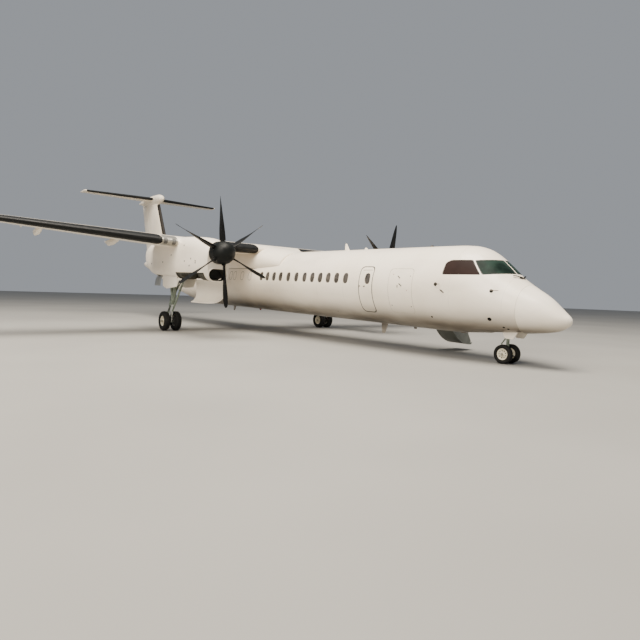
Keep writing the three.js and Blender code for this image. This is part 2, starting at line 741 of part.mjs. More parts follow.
// Nacelles, engines and propellers, drawn about the nacelle's own middle plane x = 0

const HUB_STATION = 10910;
const HUB_HEIGHT = 964;
const PROPELLER_DIAMETER = 4110;
const SPINNER_RADIUS = 432;
const SPINNER_FRONT = 10420;
const SPINNER_BACK = 11230;
const NACELLE_FRONT = 11262;
const BELOW_NACELLE = -600;
const NACELLE_SIDES = 24;
const BLADES = 6;
const STARBOARD_PHASE = THREE.MathUtils.degToRad(-5.3);
const PORT_PHASE = THREE.MathUtils.degToRad(11);

const NACELLE = rows(['station', 'top', 'bottom', 'half', 'waist', 'square'], [
  [NACELLE_FRONT, 1392, -128, 455, 640, 2.3],
  [11700, 1510, -140, 535, 680, 2.7],
  [12300, 1590, -118, 585, 720, 3.1],
  [13300, 1648, -88, 603, 740, 3.5],
  [14500, 1668, -55, 608, 760, 3.8],
  [15900, 1640, -20, 600, 790, 3.6],
  [16900, 1560, 70, 555, 830, 3.1],
  [17700, 1430, 300, 430, 900, 2.6],
  [18450, 1220, 690, 170, 960, 2.2],
]);
const COWL_SKIN = 35;
const LOWER_COWL = { start: 11560, end: 13900, hingeX: 392, sideTop: 190 };
const COWL_HINGE_HEIGHT = -62;
const COWL_SWING_RADIUS = 235;
const COWL_OPEN = THREE.MathUtils.degToRad(91);
const ENGINE_BAY = { start: 12050, end: 13580, half: 470, roof: 1330 };
const GEAR_BAY = { start: 14040, end: 15580, half: 440, roof: 1080 };
const REFUEL_DOOR = {
  start: 15640, end: 16340, hingeX: -430, inner: 20, hingeHeight: 42, skin: 25, room: 90,
};
const REFUEL_OPEN = THREE.MathUtils.degToRad(95);
const INTAKE = [[11200, 375, -88, 362], [11300, 375, -88, 362], [11960, 320, 10, 320]];
const EXHAUST = [[17150, 200, 1150, 1430], [19500, 200, 1150, 1430]];
const JACK_PAD = { radius: 90, wingStation: 16450, wingHeight: -12, noseStation: 3300, noseHeight: -1352 };

const nacelleBody = bodyOf(NACELLE, NACELLE_SIDES);

// Duct along y between two racetrack sections, each given by station, half-width, low and high
function duct(sections) {
  return solid(loft(sections.map(([station, half, low, high]) => {
    const outline = roundedOutline(-half, half, low, high, (high - low) / 2 - 1, 5);
    return outline.map(([x, z]) => [x, station, z]);
  })));
}

// The part of the nacelle that the hinged lower cowl takes up: outboard is -x here
function lowerCowlSpace(grow, depth) {
  const { start, end, hingeX, sideTop } = LOWER_COWL;
  const space = box([-2000, start - grow, -2000], [hingeX + grow, end + grow, sideTop + grow]);
  return space.subtract(bodyOf(NACELLE, NACELLE_SIDES, depth));
}

// Gutter along the lower cowl's hinge, in which its edge swings
function cowlSwingRoom() {
  const { start, end, hingeX } = LOWER_COWL;
  const from = [hingeX, start - RUNNING_GAP, COWL_HINGE_HEIGHT];
  const to = [hingeX, end + RUNNING_GAP, COWL_HINGE_HEIGHT];
  const inboardSide = box([hingeX + RUNNING_GAP, 0, -2000], [2000, 20000, 2000]);
  return bar(from, to, COWL_SWING_RADIUS, COWL_SWING_RADIUS, 16).subtract(inboardSide);
}

// The same for the small door under the aft part, which only the starboard nacelle has
function refuelDoorSpace(grow, depth) {
  const { start, end, hingeX, inner } = REFUEL_DOOR;
  const space = box([hingeX - grow, start - grow, -2000], [inner + grow, end + grow, 500]);
  return space.subtract(bodyOf(NACELLE, NACELLE_SIDES, depth));
}

function nacelle(offset, hasRefuelDoor) {
  const bay = ({ half, start, end, roof }) => box([-half, start, BELOW_NACELLE], [half, end, roof]);
  const wing = wingRoom(1).translate([-offset, 0, 0]);
  const cuts = [bay(ENGINE_BAY), bay(GEAR_BAY), duct(INTAKE), duct(EXHAUST)];
  if (hasRefuelDoor) cuts.push(refuelDoorSpace(RUNNING_GAP, REFUEL_DOOR.skin + REFUEL_DOOR.room));
  return nacelleBody
    .subtract(joined(cuts))
    .subtract(lowerCowlSpace(RUNNING_GAP, COWL_SKIN + RUNNING_GAP))
    .subtract(cowlSwingRoom())
    .subtract(wing)
    .add(jackPad(JACK_PAD.wingStation, JACK_PAD.wingHeight));
}

// Flat pad that a jack bears on, standing just below the skin
function jackPad(station, height) {
  return bar([0, station, height], [0, station, height + 120], JACK_PAD.radius);
}

function lowerCowl() {
  return nacelleBody.intersect(lowerCowlSpace(0, COWL_SKIN));
}

function refuelDoor() {
  return nacelleBody.intersect(refuelDoorSpace(0, REFUEL_DOOR.skin));
}

function engineBlock() {
  const { start, end } = ENGINE_BAY;
  return box([-350, start + TOUCH, 420], [350, end - TOUCH, ENGINE_BAY.roof - TOUCH]);
}

// Turned body about the propeller's axis from [radius, station] points that start and end on it
function turned(profile, sides) {
  const points = profile.map(([radius, station]) => new THREE.Vector2(radius, station));
  return solid(facingOutGeometry(new THREE.LatheGeometry(points, sides)));
}

function facingOutGeometry(geometry) {
  const bare = geometry.clone();
  bare.deleteAttribute('normal');
  bare.deleteAttribute('uv');
  return facingOut(mergeVertices(bare, 1e-3));
}

function spinner() {
  const wall = 14;
  const length = HUB_STATION - SPINNER_FRONT;
  const nose = Array.from({ length: 6 }, (_, k) => {
    const angle = k / 5 * Math.PI / 2;
    return [SPINNER_RADIUS * Math.sin(angle) ** 0.85, HUB_STATION - length * Math.cos(angle)];
  });
  const inner = nose.map(([radius, y]) => [Math.max(0, radius - wall), y + wall * 1.5]);
  const outerProfile = [...nose, [SPINNER_RADIUS - 4, SPINNER_BACK]];
  const innerProfile = [...inner, [SPINNER_RADIUS - 4 - wall, SPINNER_BACK]].reverse();
  const holes = Array.from({ length: BLADES }, (_, k) => {
    const angle = k * 2 * Math.PI / BLADES;
    const [dx, dz] = [Math.sin(angle), Math.cos(angle)];
    return bar([dx * 250, HUB_STATION, dz * 250], [dx * 600, HUB_STATION, dz * 600], 118, 118, 8);
  });
  return turned([...outerProfile, ...innerProfile], 24).subtract(joined(holes));
}

// Feathered blade along +z: chord nearly fore and aft, twisting a little to the tip
const BLADE = rows(['radius', 'chord', 'thick', 'twist'], [
  [442, 325, 92, 105],
  [640, 340, 66, 103],
  [940, 320, 42, 98],
  [1270, 300, 30, 88],
  [1610, 283, 22, 78],
  [1880, 212, 16, 71],
  [2010, 140, 12, 67],
  [PROPELLER_DIAMETER / 2, 50, 8, 66],
]);

// Blade section, as parts of its chord and of its thickness
const BLADE_FOIL = [
  [-0.5, 0], [-0.42, 0.32], [-0.2, 0.5], [0.1, 0.42], [0.5, 0], [0.1, -0.3], [-0.2, -0.38], [-0.42, -0.28],
];
const BLADE_SHANK = { from: 150, to: 520, radius: 88, endRadius: 80 };

function blade() {
  const rings = BLADE.map(({ radius, chord, thick, twist }) => {
    const angle = THREE.MathUtils.degToRad(twist);
    const [cos, sin] = [Math.cos(angle), Math.sin(angle)];
    return BLADE_FOIL.map(([along, across]) => {
      const [c, t] = [along * chord, across * thick];
      return [c * cos - t * sin, HUB_STATION + c * sin + t * cos, radius];
    });
  });
  const { from, to, radius, endRadius } = BLADE_SHANK;
  const shank = bar([0, HUB_STATION, from], [0, HUB_STATION, to], radius, endRadius);
  return joined([shank, solid(loft(rings))]);
}

function propellerBlades() {
  const hub = bar([0, HUB_STATION - 150, 0], [0, HUB_STATION + 190, 0], 230, 230, 16);
  const shaft = bar([0, HUB_STATION + 150, 0], [0, NACELLE_FRONT - TOUCH - 1, 0], 130, 130, 14);
  const one = blade();
  const all = Array.from({ length: BLADES }, (_, k) => one.rotate([0, k * 360 / BLADES, 0]));
  return joined([hub, shaft, ...all]);
}

// Landing gear

const MAIN_TYRE = { radius: 432, width: 273, rim: 228 };
const NOSE_TYRE = { radius: 279.5, width: 165, rim: 130 };
const MAIN_TWIN = 260;
const NOSE_TWIN = 205;
const MAIN_AXLE = [MAIN_GEAR_STATION, aboveGround(MAIN_TYRE.radius, MAIN_GEAR_STATION)];
const NOSE_AXLE = [NOSE_GEAR_STATION, aboveGround(NOSE_TYRE.radius, NOSE_GEAR_STATION)];
const MAIN_TRUNNION = [15225, 260];
const MAIN_STRUT_FOOT = 15590;
const TOW_FACE = { half: 55, reach: 110 };
const NOSE_COLLAR_RISE = 560;
const MAIN_AXLE_RADIUS = 52;
const NOSE_AXLE_RADIUS = 34;

// Wheel and tyre about the x axis at the origin, its outer face towards +x. Its tread is a
// polygon that stands on a flat, which touches the true rolling circle.
function wheel({ radius: rolling, width, rim }, bore) {
  const half = width / 2;
  const sides = 24;
  const radius = rolling / Math.cos(Math.PI / sides);
  const profile = [
    [bore, -half * 0.7], [rim * 0.86, -half * 0.72], [rim, -half * 0.95],
    [radius - 0.3 * (radius - rim), -half], [radius - 0.06 * (radius - rim), -half * 0.72],
    [radius, -half * 0.4],
  ];
  const outer = profile.map(([r, x]) => [r, -x]).reverse();
  outer[outer.length - 1] = [bore, half * 0.35];
  const points = [...profile, ...outer, profile[0]].map(([r, x]) => new THREE.Vector2(r, x));
  const geometry = facingOutGeometry(new THREE.LatheGeometry(points, sides, Math.PI / sides));
  geometry.rotateZ(-Math.PI / 2);
  geometry.rotateX(-GROUND_PITCH);
  return solid(geometry);
}

// Main leg, drawn for a leg at x = 0: strut, trailing axle, drag brace, side braces and
// torque links
function mainLeg() {
  const [ya, za] = MAIN_AXLE;
  const [yt, zt] = MAIN_TRUNNION;
  const part = (k) => [0, MAIN_STRUT_FOOT + (yt - MAIN_STRUT_FOOT) * k, za + (zt - za) * k];
  const reach = MAIN_TWIN + MAIN_TYRE.width / 2 + 30;
  const cap = MAIN_AXLE_RADIUS * 1.6;
  const bayWall = GEAR_BAY.half - TOUCH;
  const braceX = GEAR_BAY.half - 70;
  const linkApex = [0, ya + 270, za + 430];
  const sideBraces = [-braceX, braceX].flatMap((x) => [
    bar(part(0.5), [x, yt, 20], 30),
    bar([x, yt, -8], [x, yt, zt], 30),
  ]);
  return joined([
    bar(part(0), part(0.42), 62),
    bar(part(0.34), part(1), 90),
    bar(part(0.36), part(0.42), 112),
    bar([-bayWall, yt, zt], [bayWall, yt, zt], 72),
    bar(part(0), [0, ya, za], 74),
    bar([-reach, ya, za], [reach, ya, za], MAIN_AXLE_RADIUS),
    bar([-110, ya, za], [110, ya, za], cap),
    bar(part(0.18), [0, GEAR_BAY.start + 130, 110], 38, 46),
    box([-170, GEAR_BAY.start + TOUCH, 50], [170, GEAR_BAY.start + 180, 180]),
    bar([0, ya + 40, za + 30], linkApex, 34, 26, 8),
    bar(linkApex, part(0.4), 26, 34, 8),
    ...sideBraces,
  ]);
}

// Gear doors hang just inside the edges of the bay
const OUTER_DOOR = [[14060, 150], [15560, 150], [15560, -400], [15138, -510], [14060, -391]];
const INNER_DOOR = [[14045, 150], [15560, 150], [15560, -400], [15138, -450], [14338, -410], [14060, -100]];

const GEAR_DOOR_INSET = 9;
const MAIN_DOOR_THICK = 14;
const NOSE_DOOR_THICK = 20;

function mainGearDoor(x, outline) {
  return sidePlate(outline, x - MAIN_DOOR_THICK / 2, x + MAIN_DOOR_THICK / 2);
}

const NOSE_TRUNNION = [1900, -760];

// Upper nose leg: fixed in its bay, down to the steering collar
function noseLeg() {
  const [ya, za] = NOSE_AXLE;
  const [yt, zt] = NOSE_TRUNNION;
  const collar = [0, ya, za + NOSE_COLLAR_RISE];
  const bayWall = NOSE_BAY.half - TOUCH;
  return joined([
    bar(collar, [0, ya + 40, NOSE_BAY.roof - 8], 66),
    bar([-bayWall, ...NOSE_TRUNNION], [bayWall, ...NOSE_TRUNNION], 42),
    bar([0, ya, za + 640], [0, NOSE_BAY.start + 100, -800], 34, 34, 12),
    box([-120, NOSE_BAY.start + TOUCH, -860], [120, NOSE_BAY.start + 130, -740]),
    bar([-70, yt - 30, zt], [-70, ya + 20, zt - 20], 40, 40, 10),
    bar([70, yt - 30, zt], [70, ya + 20, zt - 20], 40, 40, 10),
    bar([-70, ya + 20, zt - 20], [70, ya + 20, zt - 20], 44, 44, 12),
  ]);
}

// Steered lower part: piston, axle and torque links
function noseSteeredAxle() {
  const [ya, za] = NOSE_AXLE;
  const reach = NOSE_TWIN + NOSE_TYRE.width / 2 + 18;
  const top = za + NOSE_COLLAR_RISE - RUNNING_GAP;
  return joined([
    bar([0, ya, za], [0, ya, top], 46),
    bar([0, ya, top - 82], [0, ya, top], 72),
    bar([-reach, ya, za], [reach, ya, za], NOSE_AXLE_RADIUS),
    bar([-80, ya, za], [80, ya, za], 56),
    box([-TOW_FACE.half, ya - TOW_FACE.reach, za - 40], [TOW_FACE.half, ya, za + 40]),
    bar([0, ya + 40, za + 20], [0, ya + 200, za + 270], 22, 18, 10),
    bar([0, ya + 200, za + 270], [0, ya + 40, za + 490], 18, 22, 10),
  ]);
}

const NOSE_DOOR = [[1335, -1080], [1800, -1080], [1800, -1170], [1694, -1350], [1459, -1350], [1335, -1160]];
const NOSE_DOOR_INSET = 12;

function noseGearDoor(side) {
  const x = side * (NOSE_BAY.half - NOSE_DOOR_INSET);
  return sidePlate(NOSE_DOOR, x - NOSE_DOOR_THICK / 2, x + NOSE_DOOR_THICK / 2);
}

// Finishes

function finish(color, roughness, metalness = 0) {
  return new THREE.MeshStandardMaterial({ color, roughness, metalness });
}

const FINISHES = {
  whitePaint: () => finish(0xe9e6df, 0.4),
  radomePaint: () => finish(0xefece6, 0.45),
  glass: () => finish(0x2b2622, 0.08),
  stairs: () => finish(0xb9bab6, 0.5, 0.3),
  blackPaint: () => finish(0x1d1f20, 0.5),
  bladePaint: () => finish(0x25282a, 0.5),
  engineMetal: () => finish(0x6d6f6e, 0.5, 0.6),
  gearPaint: () => finish(0xb8bdb8, 0.45),
  tyre: () => finish(0x1b1b1b, 0.85),
};

// The assembly

const aircraft = new THREE.Group();
const airframe = new THREE.Group();
airframe.rotation.x = GROUND_PITCH;
airframe.position.set(0, -MIDDLE_STATION * Math.cos(GROUND_PITCH), AXIS_HEIGHT_AT_NOSE);
aircraft.add(airframe);

function place(name, body, material, parent = airframe) {
  const mesh = new THREE.Mesh(body instanceof THREE.BufferGeometry ? body : geometryOf(body), material());
  mesh.name = name;
  mesh.geometry.computeVertexNormals();
  parent.add(mesh);
  return mesh;
}

// A piece drawn to port, with its mirror image to starboard
function placePair(name, body, material) {
  const geometry = geometryOf(body);
  place(`${name}_left`, geometry, material);
  place(`${name}_right`, mirrored(geometry), material);
}

place('radome', radome(), FINISHES.radomePaint);
place('forward_fuselage', forwardFuselage(), FINISHES.whitePaint);
place('cabin_fuselage', cabinFuselage(), FINISHES.whitePaint);
place('aft_fuselage', aftFuselage(), FINISHES.whitePaint);
for (const [name, pane] of Object.entries(cockpitGlass())) place(name, pane, FINISHES.glass);
for (const panel of SKIN_PANELS) place(panel.name, skinPanel(panel), FINISHES.whitePaint);

const airstairHinge = new THREE.Group();
airstairHinge.position.set(AIRSTAIR_HINGE.x, 0, AIRSTAIR_HINGE.z);
airstairHinge.rotation.y = THREE.MathUtils.degToRad(AIRSTAIR_OPEN);
airframe.add(airstairHinge);
const closedStair = airstairDoor().translate([-AIRSTAIR_HINGE.x, 0, -AIRSTAIR_HINGE.z]);
place('passenger_airstair_door', closedStair, FINISHES.stairs, airstairHinge);

place('wing_fuselage_fairing', wingFuselageFairing(), FINISHES.whitePaint);
place('inner_wing', innerWing(), FINISHES.whitePaint);
placePair('outer_wing', outerWing(), FINISHES.whitePaint);
placePair('inner_flap', innerFlap(), FINISHES.whitePaint);
placePair('outer_flap', outerFlap(), FINISHES.whitePaint);
placePair('aileron', aileron(), FINISHES.whitePaint);
place('fin', fin(), FINISHES.whitePaint);
place('rudder_front', rudderFront(), FINISHES.whitePaint);
place('rudder_rear', rudderRear(), FINISHES.whitePaint);
place('tailplane', tailplane(), FINISHES.whitePaint);
placePair('elevator', elevator(), FINISHES.whitePaint);

// Each nacelle is drawn with its outboard side towards -x, as on the starboard wing
for (const [word, side] of [['left', 1], ['right', -1]]) {
  const facing = (body) => (side < 0 ? geometryOf(body) : mirrored(geometryOf(body)));
  const power = new THREE.Group();
  power.position.x = side * NACELLE_OFFSET;
  airframe.add(power);
  place(`nacelle_${word}`, facing(nacelle(-NACELLE_OFFSET, side < 0)), FINISHES.whitePaint, power);
  place(`engine_${word}`, facing(engineBlock()), FINISHES.engineMetal, power);

  const cowlHinge = new THREE.Group();
  cowlHinge.position.set(-side * LOWER_COWL.hingeX, 0, COWL_HINGE_HEIGHT);
  cowlHinge.rotation.y = side * COWL_OPEN;
  power.add(cowlHinge);
  const closedCowl = lowerCowl().translate([-LOWER_COWL.hingeX, 0, -COWL_HINGE_HEIGHT]);
  place(`lower_cowl_${word}`, facing(closedCowl), FINISHES.whitePaint, cowlHinge);

  if (side < 0) {
    const { hingeX, hingeHeight } = REFUEL_DOOR;
    const refuelHinge = new THREE.Group();
    refuelHinge.position.set(hingeX, 0, hingeHeight);
    refuelHinge.rotation.y = REFUEL_OPEN;
    power.add(refuelHinge);
    const closedDoor = refuelDoor().translate([-hingeX, 0, -hingeHeight]);
    place('refuel_panel_door', closedDoor, FINISHES.stairs, refuelHinge);
  }

  const propeller = new THREE.Group();
  propeller.position.z = HUB_HEIGHT;
  propeller.rotation.y = side < 0 ? STARBOARD_PHASE : PORT_PHASE;
  power.add(propeller);
  place(`spinner_${word}`, spinner(), FINISHES.blackPaint, propeller);
  place(`propeller_blades_${word}`, propellerBlades(), FINISHES.bladePaint, propeller);

  place(`main_leg_${word}`, facing(mainLeg()), FINISHES.gearPaint, power);
  for (const [where, sense, outline] of [['outer', -1, OUTER_DOOR], ['inner', 1, INNER_DOOR]]) {
    const door = mainGearDoor(sense * (GEAR_BAY.half - GEAR_DOOR_INSET), outline);
    place(`main_gear_door_${where}_${word}`, facing(door), FINISHES.whitePaint, power);
  }
  for (const [twin, twinSide] of [['outer', side], ['inner', -side]]) {
    const turnedOut = wheel(MAIN_TYRE, MAIN_AXLE_RADIUS + 1);
    const tyre = place(
      `main_wheel_${twin}_${word}`,
      twinSide > 0 ? geometryOf(turnedOut) : mirrored(geometryOf(turnedOut)),
      FINISHES.tyre,
      power,
    );
    tyre.position.set(twinSide * MAIN_TWIN, MAIN_AXLE[0], MAIN_AXLE[1]);
  }
}

place('nose_leg', noseLeg(), FINISHES.gearPaint);
place('nose_steered_axle', noseSteeredAxle(), FINISHES.gearPaint);
for (const [word, side] of [['left', 1], ['right', -1]]) {
  const body = geometryOf(wheel(NOSE_TYRE, NOSE_AXLE_RADIUS + 1));
  const tyre = place(`nose_wheel_${word}`, side > 0 ? body : mirrored(body), FINISHES.tyre);
  tyre.position.set(side * NOSE_TWIN, NOSE_AXLE[0], NOSE_AXLE[1]);
  place(`nose_gear_door_${word}`, noseGearDoor(side), FINISHES.whitePaint);
}

export default aircraft;
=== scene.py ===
import json
import bpy
import bmesh
import numpy as np
from mathutils import Matrix


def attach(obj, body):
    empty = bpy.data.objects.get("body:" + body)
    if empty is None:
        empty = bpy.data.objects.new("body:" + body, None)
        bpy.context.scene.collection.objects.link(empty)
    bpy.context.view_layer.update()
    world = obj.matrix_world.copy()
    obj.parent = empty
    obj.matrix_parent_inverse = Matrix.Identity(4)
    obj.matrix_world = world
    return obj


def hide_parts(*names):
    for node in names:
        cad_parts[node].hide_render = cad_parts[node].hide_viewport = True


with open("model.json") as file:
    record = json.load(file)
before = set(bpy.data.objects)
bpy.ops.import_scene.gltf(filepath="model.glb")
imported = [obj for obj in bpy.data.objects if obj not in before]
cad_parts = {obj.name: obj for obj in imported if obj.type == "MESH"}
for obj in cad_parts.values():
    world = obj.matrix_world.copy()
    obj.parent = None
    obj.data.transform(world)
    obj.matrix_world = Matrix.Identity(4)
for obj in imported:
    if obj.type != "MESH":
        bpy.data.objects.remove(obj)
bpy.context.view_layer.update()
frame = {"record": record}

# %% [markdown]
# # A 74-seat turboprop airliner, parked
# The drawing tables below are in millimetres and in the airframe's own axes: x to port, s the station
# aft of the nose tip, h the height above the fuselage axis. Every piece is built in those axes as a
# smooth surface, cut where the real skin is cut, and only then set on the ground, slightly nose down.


BODY_OF = {node: body for body, nodes in frame["record"]["behaviour"]["bodies"].items() for node in nodes}
PITCH = np.arctan(0.0214)
MIDDLE_STATION = 16364.9
AXIS_HEIGHT_AT_NOSE = 2053.0
COS, SIN = float(np.cos(PITCH)), float(np.sin(PITCH))
MM = 0.001
GROUND = Matrix((
    (1, 0, 0, 0),
    (0, COS, -SIN, -MIDDLE_STATION * MM * COS),
    (0, SIN, COS, AXIS_HEIGHT_AT_NOSE * MM),
    (0, 0, 0, 1),
))

# %% [markdown]
# ## Shape tools
# A closed skin is a stack of rings. Tables of rings are drawn through with a monotone cubic, which has
# no ripples between the given rows, as a faired hull has none. Panels, doors and panes are cut from
# the same skin that surrounds them, so each lies flush.

# %% Shape tools: tables of rings


def table_of(columns, table):
    """Rows of numbers as one array per column name."""
    return {name: np.array(column, float) for name, column in zip(columns, zip(*table))}


def faired(table, steps):
    """The table resampled with steps rows per interval. Between rows each column follows a cubic whose
    end slopes are the weighted harmonic mean of the neighbouring slopes, or level at a peak."""
    names = list(table)
    rows = np.stack([table[name] for name in names], 1)
    gap = np.linalg.norm(np.diff(rows[:, :4], axis=0), axis=1)[:, None]
    slope = np.diff(rows, axis=0) / gap
    before, after = slope[:-1], slope[1:]
    w1, w2 = 2 * gap[1:] + gap[:-1], gap[1:] + 2 * gap[:-1]
    same = before * after > 0
    mean = (w1 + w2) / (w1 / np.where(same, before, 1) + w2 / np.where(same, after, 1))
    tangent = np.vstack([slope[:1], np.where(same, mean, 0), slope[-1:]])
    t = (np.arange(steps) / steps)[None, :, None]
    a, b, g = rows[:-1, None], rows[1:, None], gap[:, None]
    ma, mb = tangent[:-1, None] * g, tangent[1:, None] * g
    points = (2 * t**3 - 3 * t**2 + 1) * a + (t**3 - 2 * t**2 + t) * ma
    points = points + (-2 * t**3 + 3 * t**2) * b + (t**3 - t**2) * mb
    points = np.vstack([points.reshape(-1, len(names)), rows[-1:]])
    return dict(zip(names, points.T))


def body_rings(table, sides, inset=0.0, centre=0.0):
    """Rings of a hull: across = half * |cos a| ^ (2/n) and up = reach * |sin a| ^ (2/n) from the waist,
    where n is the squareness and reach runs to the top or to the bottom."""
    column = {name: values[:, None] for name, values in table.items()}
    angle = (np.arange(sides)[None, :] + 0.5) / sides * 2 * np.pi
    power = 2 / column.get("square", np.full_like(column["station"], 2.0))
    across = np.sign(np.cos(angle)) * np.abs(np.cos(angle)) ** power
    up = np.sign(np.sin(angle)) * np.abs(np.sin(angle)) ** power
    reach = np.where(up > 0, column["top"] - column["waist"], column["waist"] - column["bottom"])
    x = centre + across * (column["half"] - inset)
    h = column["waist"] + up * (reach - inset)
    return np.stack([x, np.broadcast_to(column["station"], x.shape), h], -1)


def columns_at(table, station):
    """Every column of a hull's table at one station or at an array of them."""
    return {name: np.interp(station, table["station"], values) for name, values in table.items()}


def skin_x(table, station, height, deep=0.0):
    """Half-width of a hull at a height, deep mm inside its skin: half * (1 - |rise / reach|^n)^(1/n)."""
    c = columns_at(table, station)
    n, rise = c.get("square", 2.0), height - c["waist"]
    reach = np.where(rise > 0, c["top"] - c["waist"], c["waist"] - c["bottom"]) - deep
    return (c["half"] - deep) * np.clip(1 - np.abs(rise / reach) ** n, 0, 1) ** (1 / n)


def depth_in(table, centres, offset=0.0):
    """How deep points lie in a hull about x = offset, as a part of its size:
    1 - (|x / half|^n + |rise / reach|^n)^(1/n), which is 0 on the skin."""
    c = columns_at(table, centres[:, 1])
    n, rise = c.get("square", 2.0), centres[:, 2] - c["waist"]
    reach = np.where(rise > 0, c["top"] - c["waist"], c["waist"] - c["bottom"])
    across = np.abs((centres[:, 0] - offset) / c["half"]) ** n
    return 1 - (across + np.abs(rise / reach) ** n) ** (1 / n)


print("rows after fairing", len(faired(table_of("ab", [[0, 0], [1, 1], [2, 4]]), 4)["a"]))

# %% Shape tools: closed bodies from rings


def signed_volume(points, faces):
    """Six times the volume that the faces enclose, each face taken as a fan, over its first triangles."""
    first = np.array([face[:3] for face in faces])
    a, b, c = (points[first[:, k]] for k in range(3))
    middle = points.mean(0)
    return float(np.einsum("ij,ij->i", a - middle, np.cross(b - middle, c - middle)).sum())


def mesh_object(name, points, faces):
    """Object at the origin from points in mm and faces as lists of point numbers."""
    mesh = bpy.data.meshes.new(name)
    mesh.from_pydata((np.asarray(points, float) * MM).tolist(), [], faces)
    mesh.validate()
    obj = bpy.data.objects.new(name, mesh)
    bpy.context.scene.collection.objects.link(obj)
    return obj


def skin(name, rings, looped=False):
    """Closed body through rings of equal count: quads between neighbours, and one face on each end, or
    the last ring joined to the first where the stack is looped."""
    rings = np.asarray(rings, float)
    count, sides = rings.shape[:2]
    last = count if looped else count - 1
    i, j = np.arange(last)[:, None], np.arange(sides)[None, :]
    here, there, beside = i * sides, (i + 1) % count * sides, (j + 1) % sides
    quads = np.stack([here + j, here + beside, there + beside, there + j], -1).reshape(-1, 4)
    points = rings.reshape(-1, 3)
    quads = quads.tolist()
    if signed_volume(points, quads) < 0:
        quads = [quad[::-1] for quad in quads]
        ends = [list(range(sides)), list(range(sides))[::-1]]
    else:
        ends = [list(range(sides))[::-1], list(range(sides))]
    if not looped:
        offset = (count - 1) * sides
        quads += [ends[0], [offset + k for k in ends[1]]]
    return mesh_object(name, points, quads)


def box(low, high):
    """Plain box from its lowest and highest corners."""
    (x0, y0, z0), (x1, y1, z1) = low, high
    ring = [[x0, z0], [x1, z0], [x1, z1], [x0, z1]]
    return skin("box", [[[x, y, z] for x, z in ring] for y in (y0, y1)])


def prism(outline, x0, x1):
    """Side-view outline of [station, height] points, drawn out from one x to another."""
    return skin("prism", [[[x, s, h] for s, h in outline] for x in (x0, x1)])


corner_faces = [[0, 1, 2], [1, 0, 3], [2, 1, 3], [0, 2, 3]]
print("six times the volume of a unit corner", signed_volume(np.eye(4, 3), corner_faces))

# %% Shape tools: outlines, bars and turned bodies


def rounded(points, radius, steps=6):
    """Polygon with its corners rounded: each corner is a quadratic curve between the points that lie a
    radius back along its two edges."""
    points = np.asarray(points, float)
    back, ahead = np.roll(points, 1, 0) - points, np.roll(points, -1, 0) - points
    t = np.linspace(0, 1, steps + 1)[None, :, None]
    lengths = [np.linalg.norm(v, axis=1, keepdims=True) for v in (back, ahead)]
    radii = [np.minimum(radius, 0.45 * length) for length in lengths]
    p = (points + back / lengths[0] * radii[0])[:, None]
    q = (points + ahead / lengths[1] * radii[1])[:, None]
    corner = points[:, None]
    return ((1 - t) ** 2 * p + 2 * t * (1 - t) * corner + t**2 * q).reshape(-1, 2)


def rectangle(start, end, low, high):
    """Four corners of a side-view rectangle."""
    return [[start, low], [end, low], [end, high], [start, high]]


def panel_outline(start, end, low, high, radius, grow=0):
    """Rectangle with rounded corners, moved outwards by grow on all four sides."""
    return rounded(rectangle(start - grow, end + grow, low - grow, high + grow), radius)


def rounded_box(x0, x1, z0, z1, radius, steps=8):
    """Rectangle whose corners are quarter circles: middle + radius * (cos a, sin a)."""
    angle = np.linspace(0, np.pi / 2, steps + 1)
    corners = [(x1 - radius, z1 - radius, 0), (x0 + radius, z1 - radius, 1),
               (x0 + radius, z0 + radius, 2), (x1 - radius, z0 + radius, 3)]
    return np.concatenate([np.stack([x + radius * np.cos(angle + q * np.pi / 2),
                                     z + radius * np.sin(angle + q * np.pi / 2)], -1) for x, z, q in corners])


def grown(outline, grow):
    """Outline moved outwards from its middle by grow."""
    outline = np.asarray(outline, float)
    away = outline - outline.mean(0)
    return outline + away / np.linalg.norm(away, axis=1, keepdims=True) * grow


def tube(path, radius, sides=12, closed=False):
    """Round bar along a path of points: circles of the given radius or radii, square to the path and
    turned as little as possible from one to the next. A closed one ends where it starts."""
    path = np.asarray(path, float)
    radii = np.broadcast_to(np.asarray(radius, float), (len(path),))
    along = np.roll(path, -1, 0) - np.roll(path, 1, 0) if closed else np.gradient(path, axis=0)
    along /= np.linalg.norm(along, axis=1, keepdims=True)
    side = np.cross(along[0], [0.31, 0.17, 0.93])
    rings = []
    angle = np.arange(sides) / sides * 2 * np.pi
    for point, direction, r in zip(path, along, radii):
        side = side - direction * side.dot(direction)
        side /= np.linalg.norm(side)
        other = np.cross(direction, side)
        circle = np.cos(angle)[:, None] * side + np.sin(angle)[:, None] * other
        rings.append(point + circle * r)
    return skin("tube", rings, closed)


def smooth_step(p0, p1, p2, p3, t):
    """Cubic from p1 to p2 whose end slopes are half the step between the points beside each."""
    curve = 2 * p1 + (p2 - p0) * t + (2 * p0 - 5 * p1 + 4 * p2 - p3) * t**2
    return 0.5 * (curve + (3 * p1 - p0 - 3 * p2 + p3) * t**3)


def curve_through(points, steps=6):
    """A path that runs smoothly through a few points, with steps points for each stretch."""
    points = np.asarray(points, float)
    held = np.vstack([2 * points[0] - points[1], points, 2 * points[-1] - points[-2]])
    near = (held[k:len(held) - 3 + k, None] for k in range(4))
    path = smooth_step(*near, (np.arange(steps) / steps)[None, :, None])
    return np.vstack([path.reshape(-1, points.shape[1]), points[-1:]])


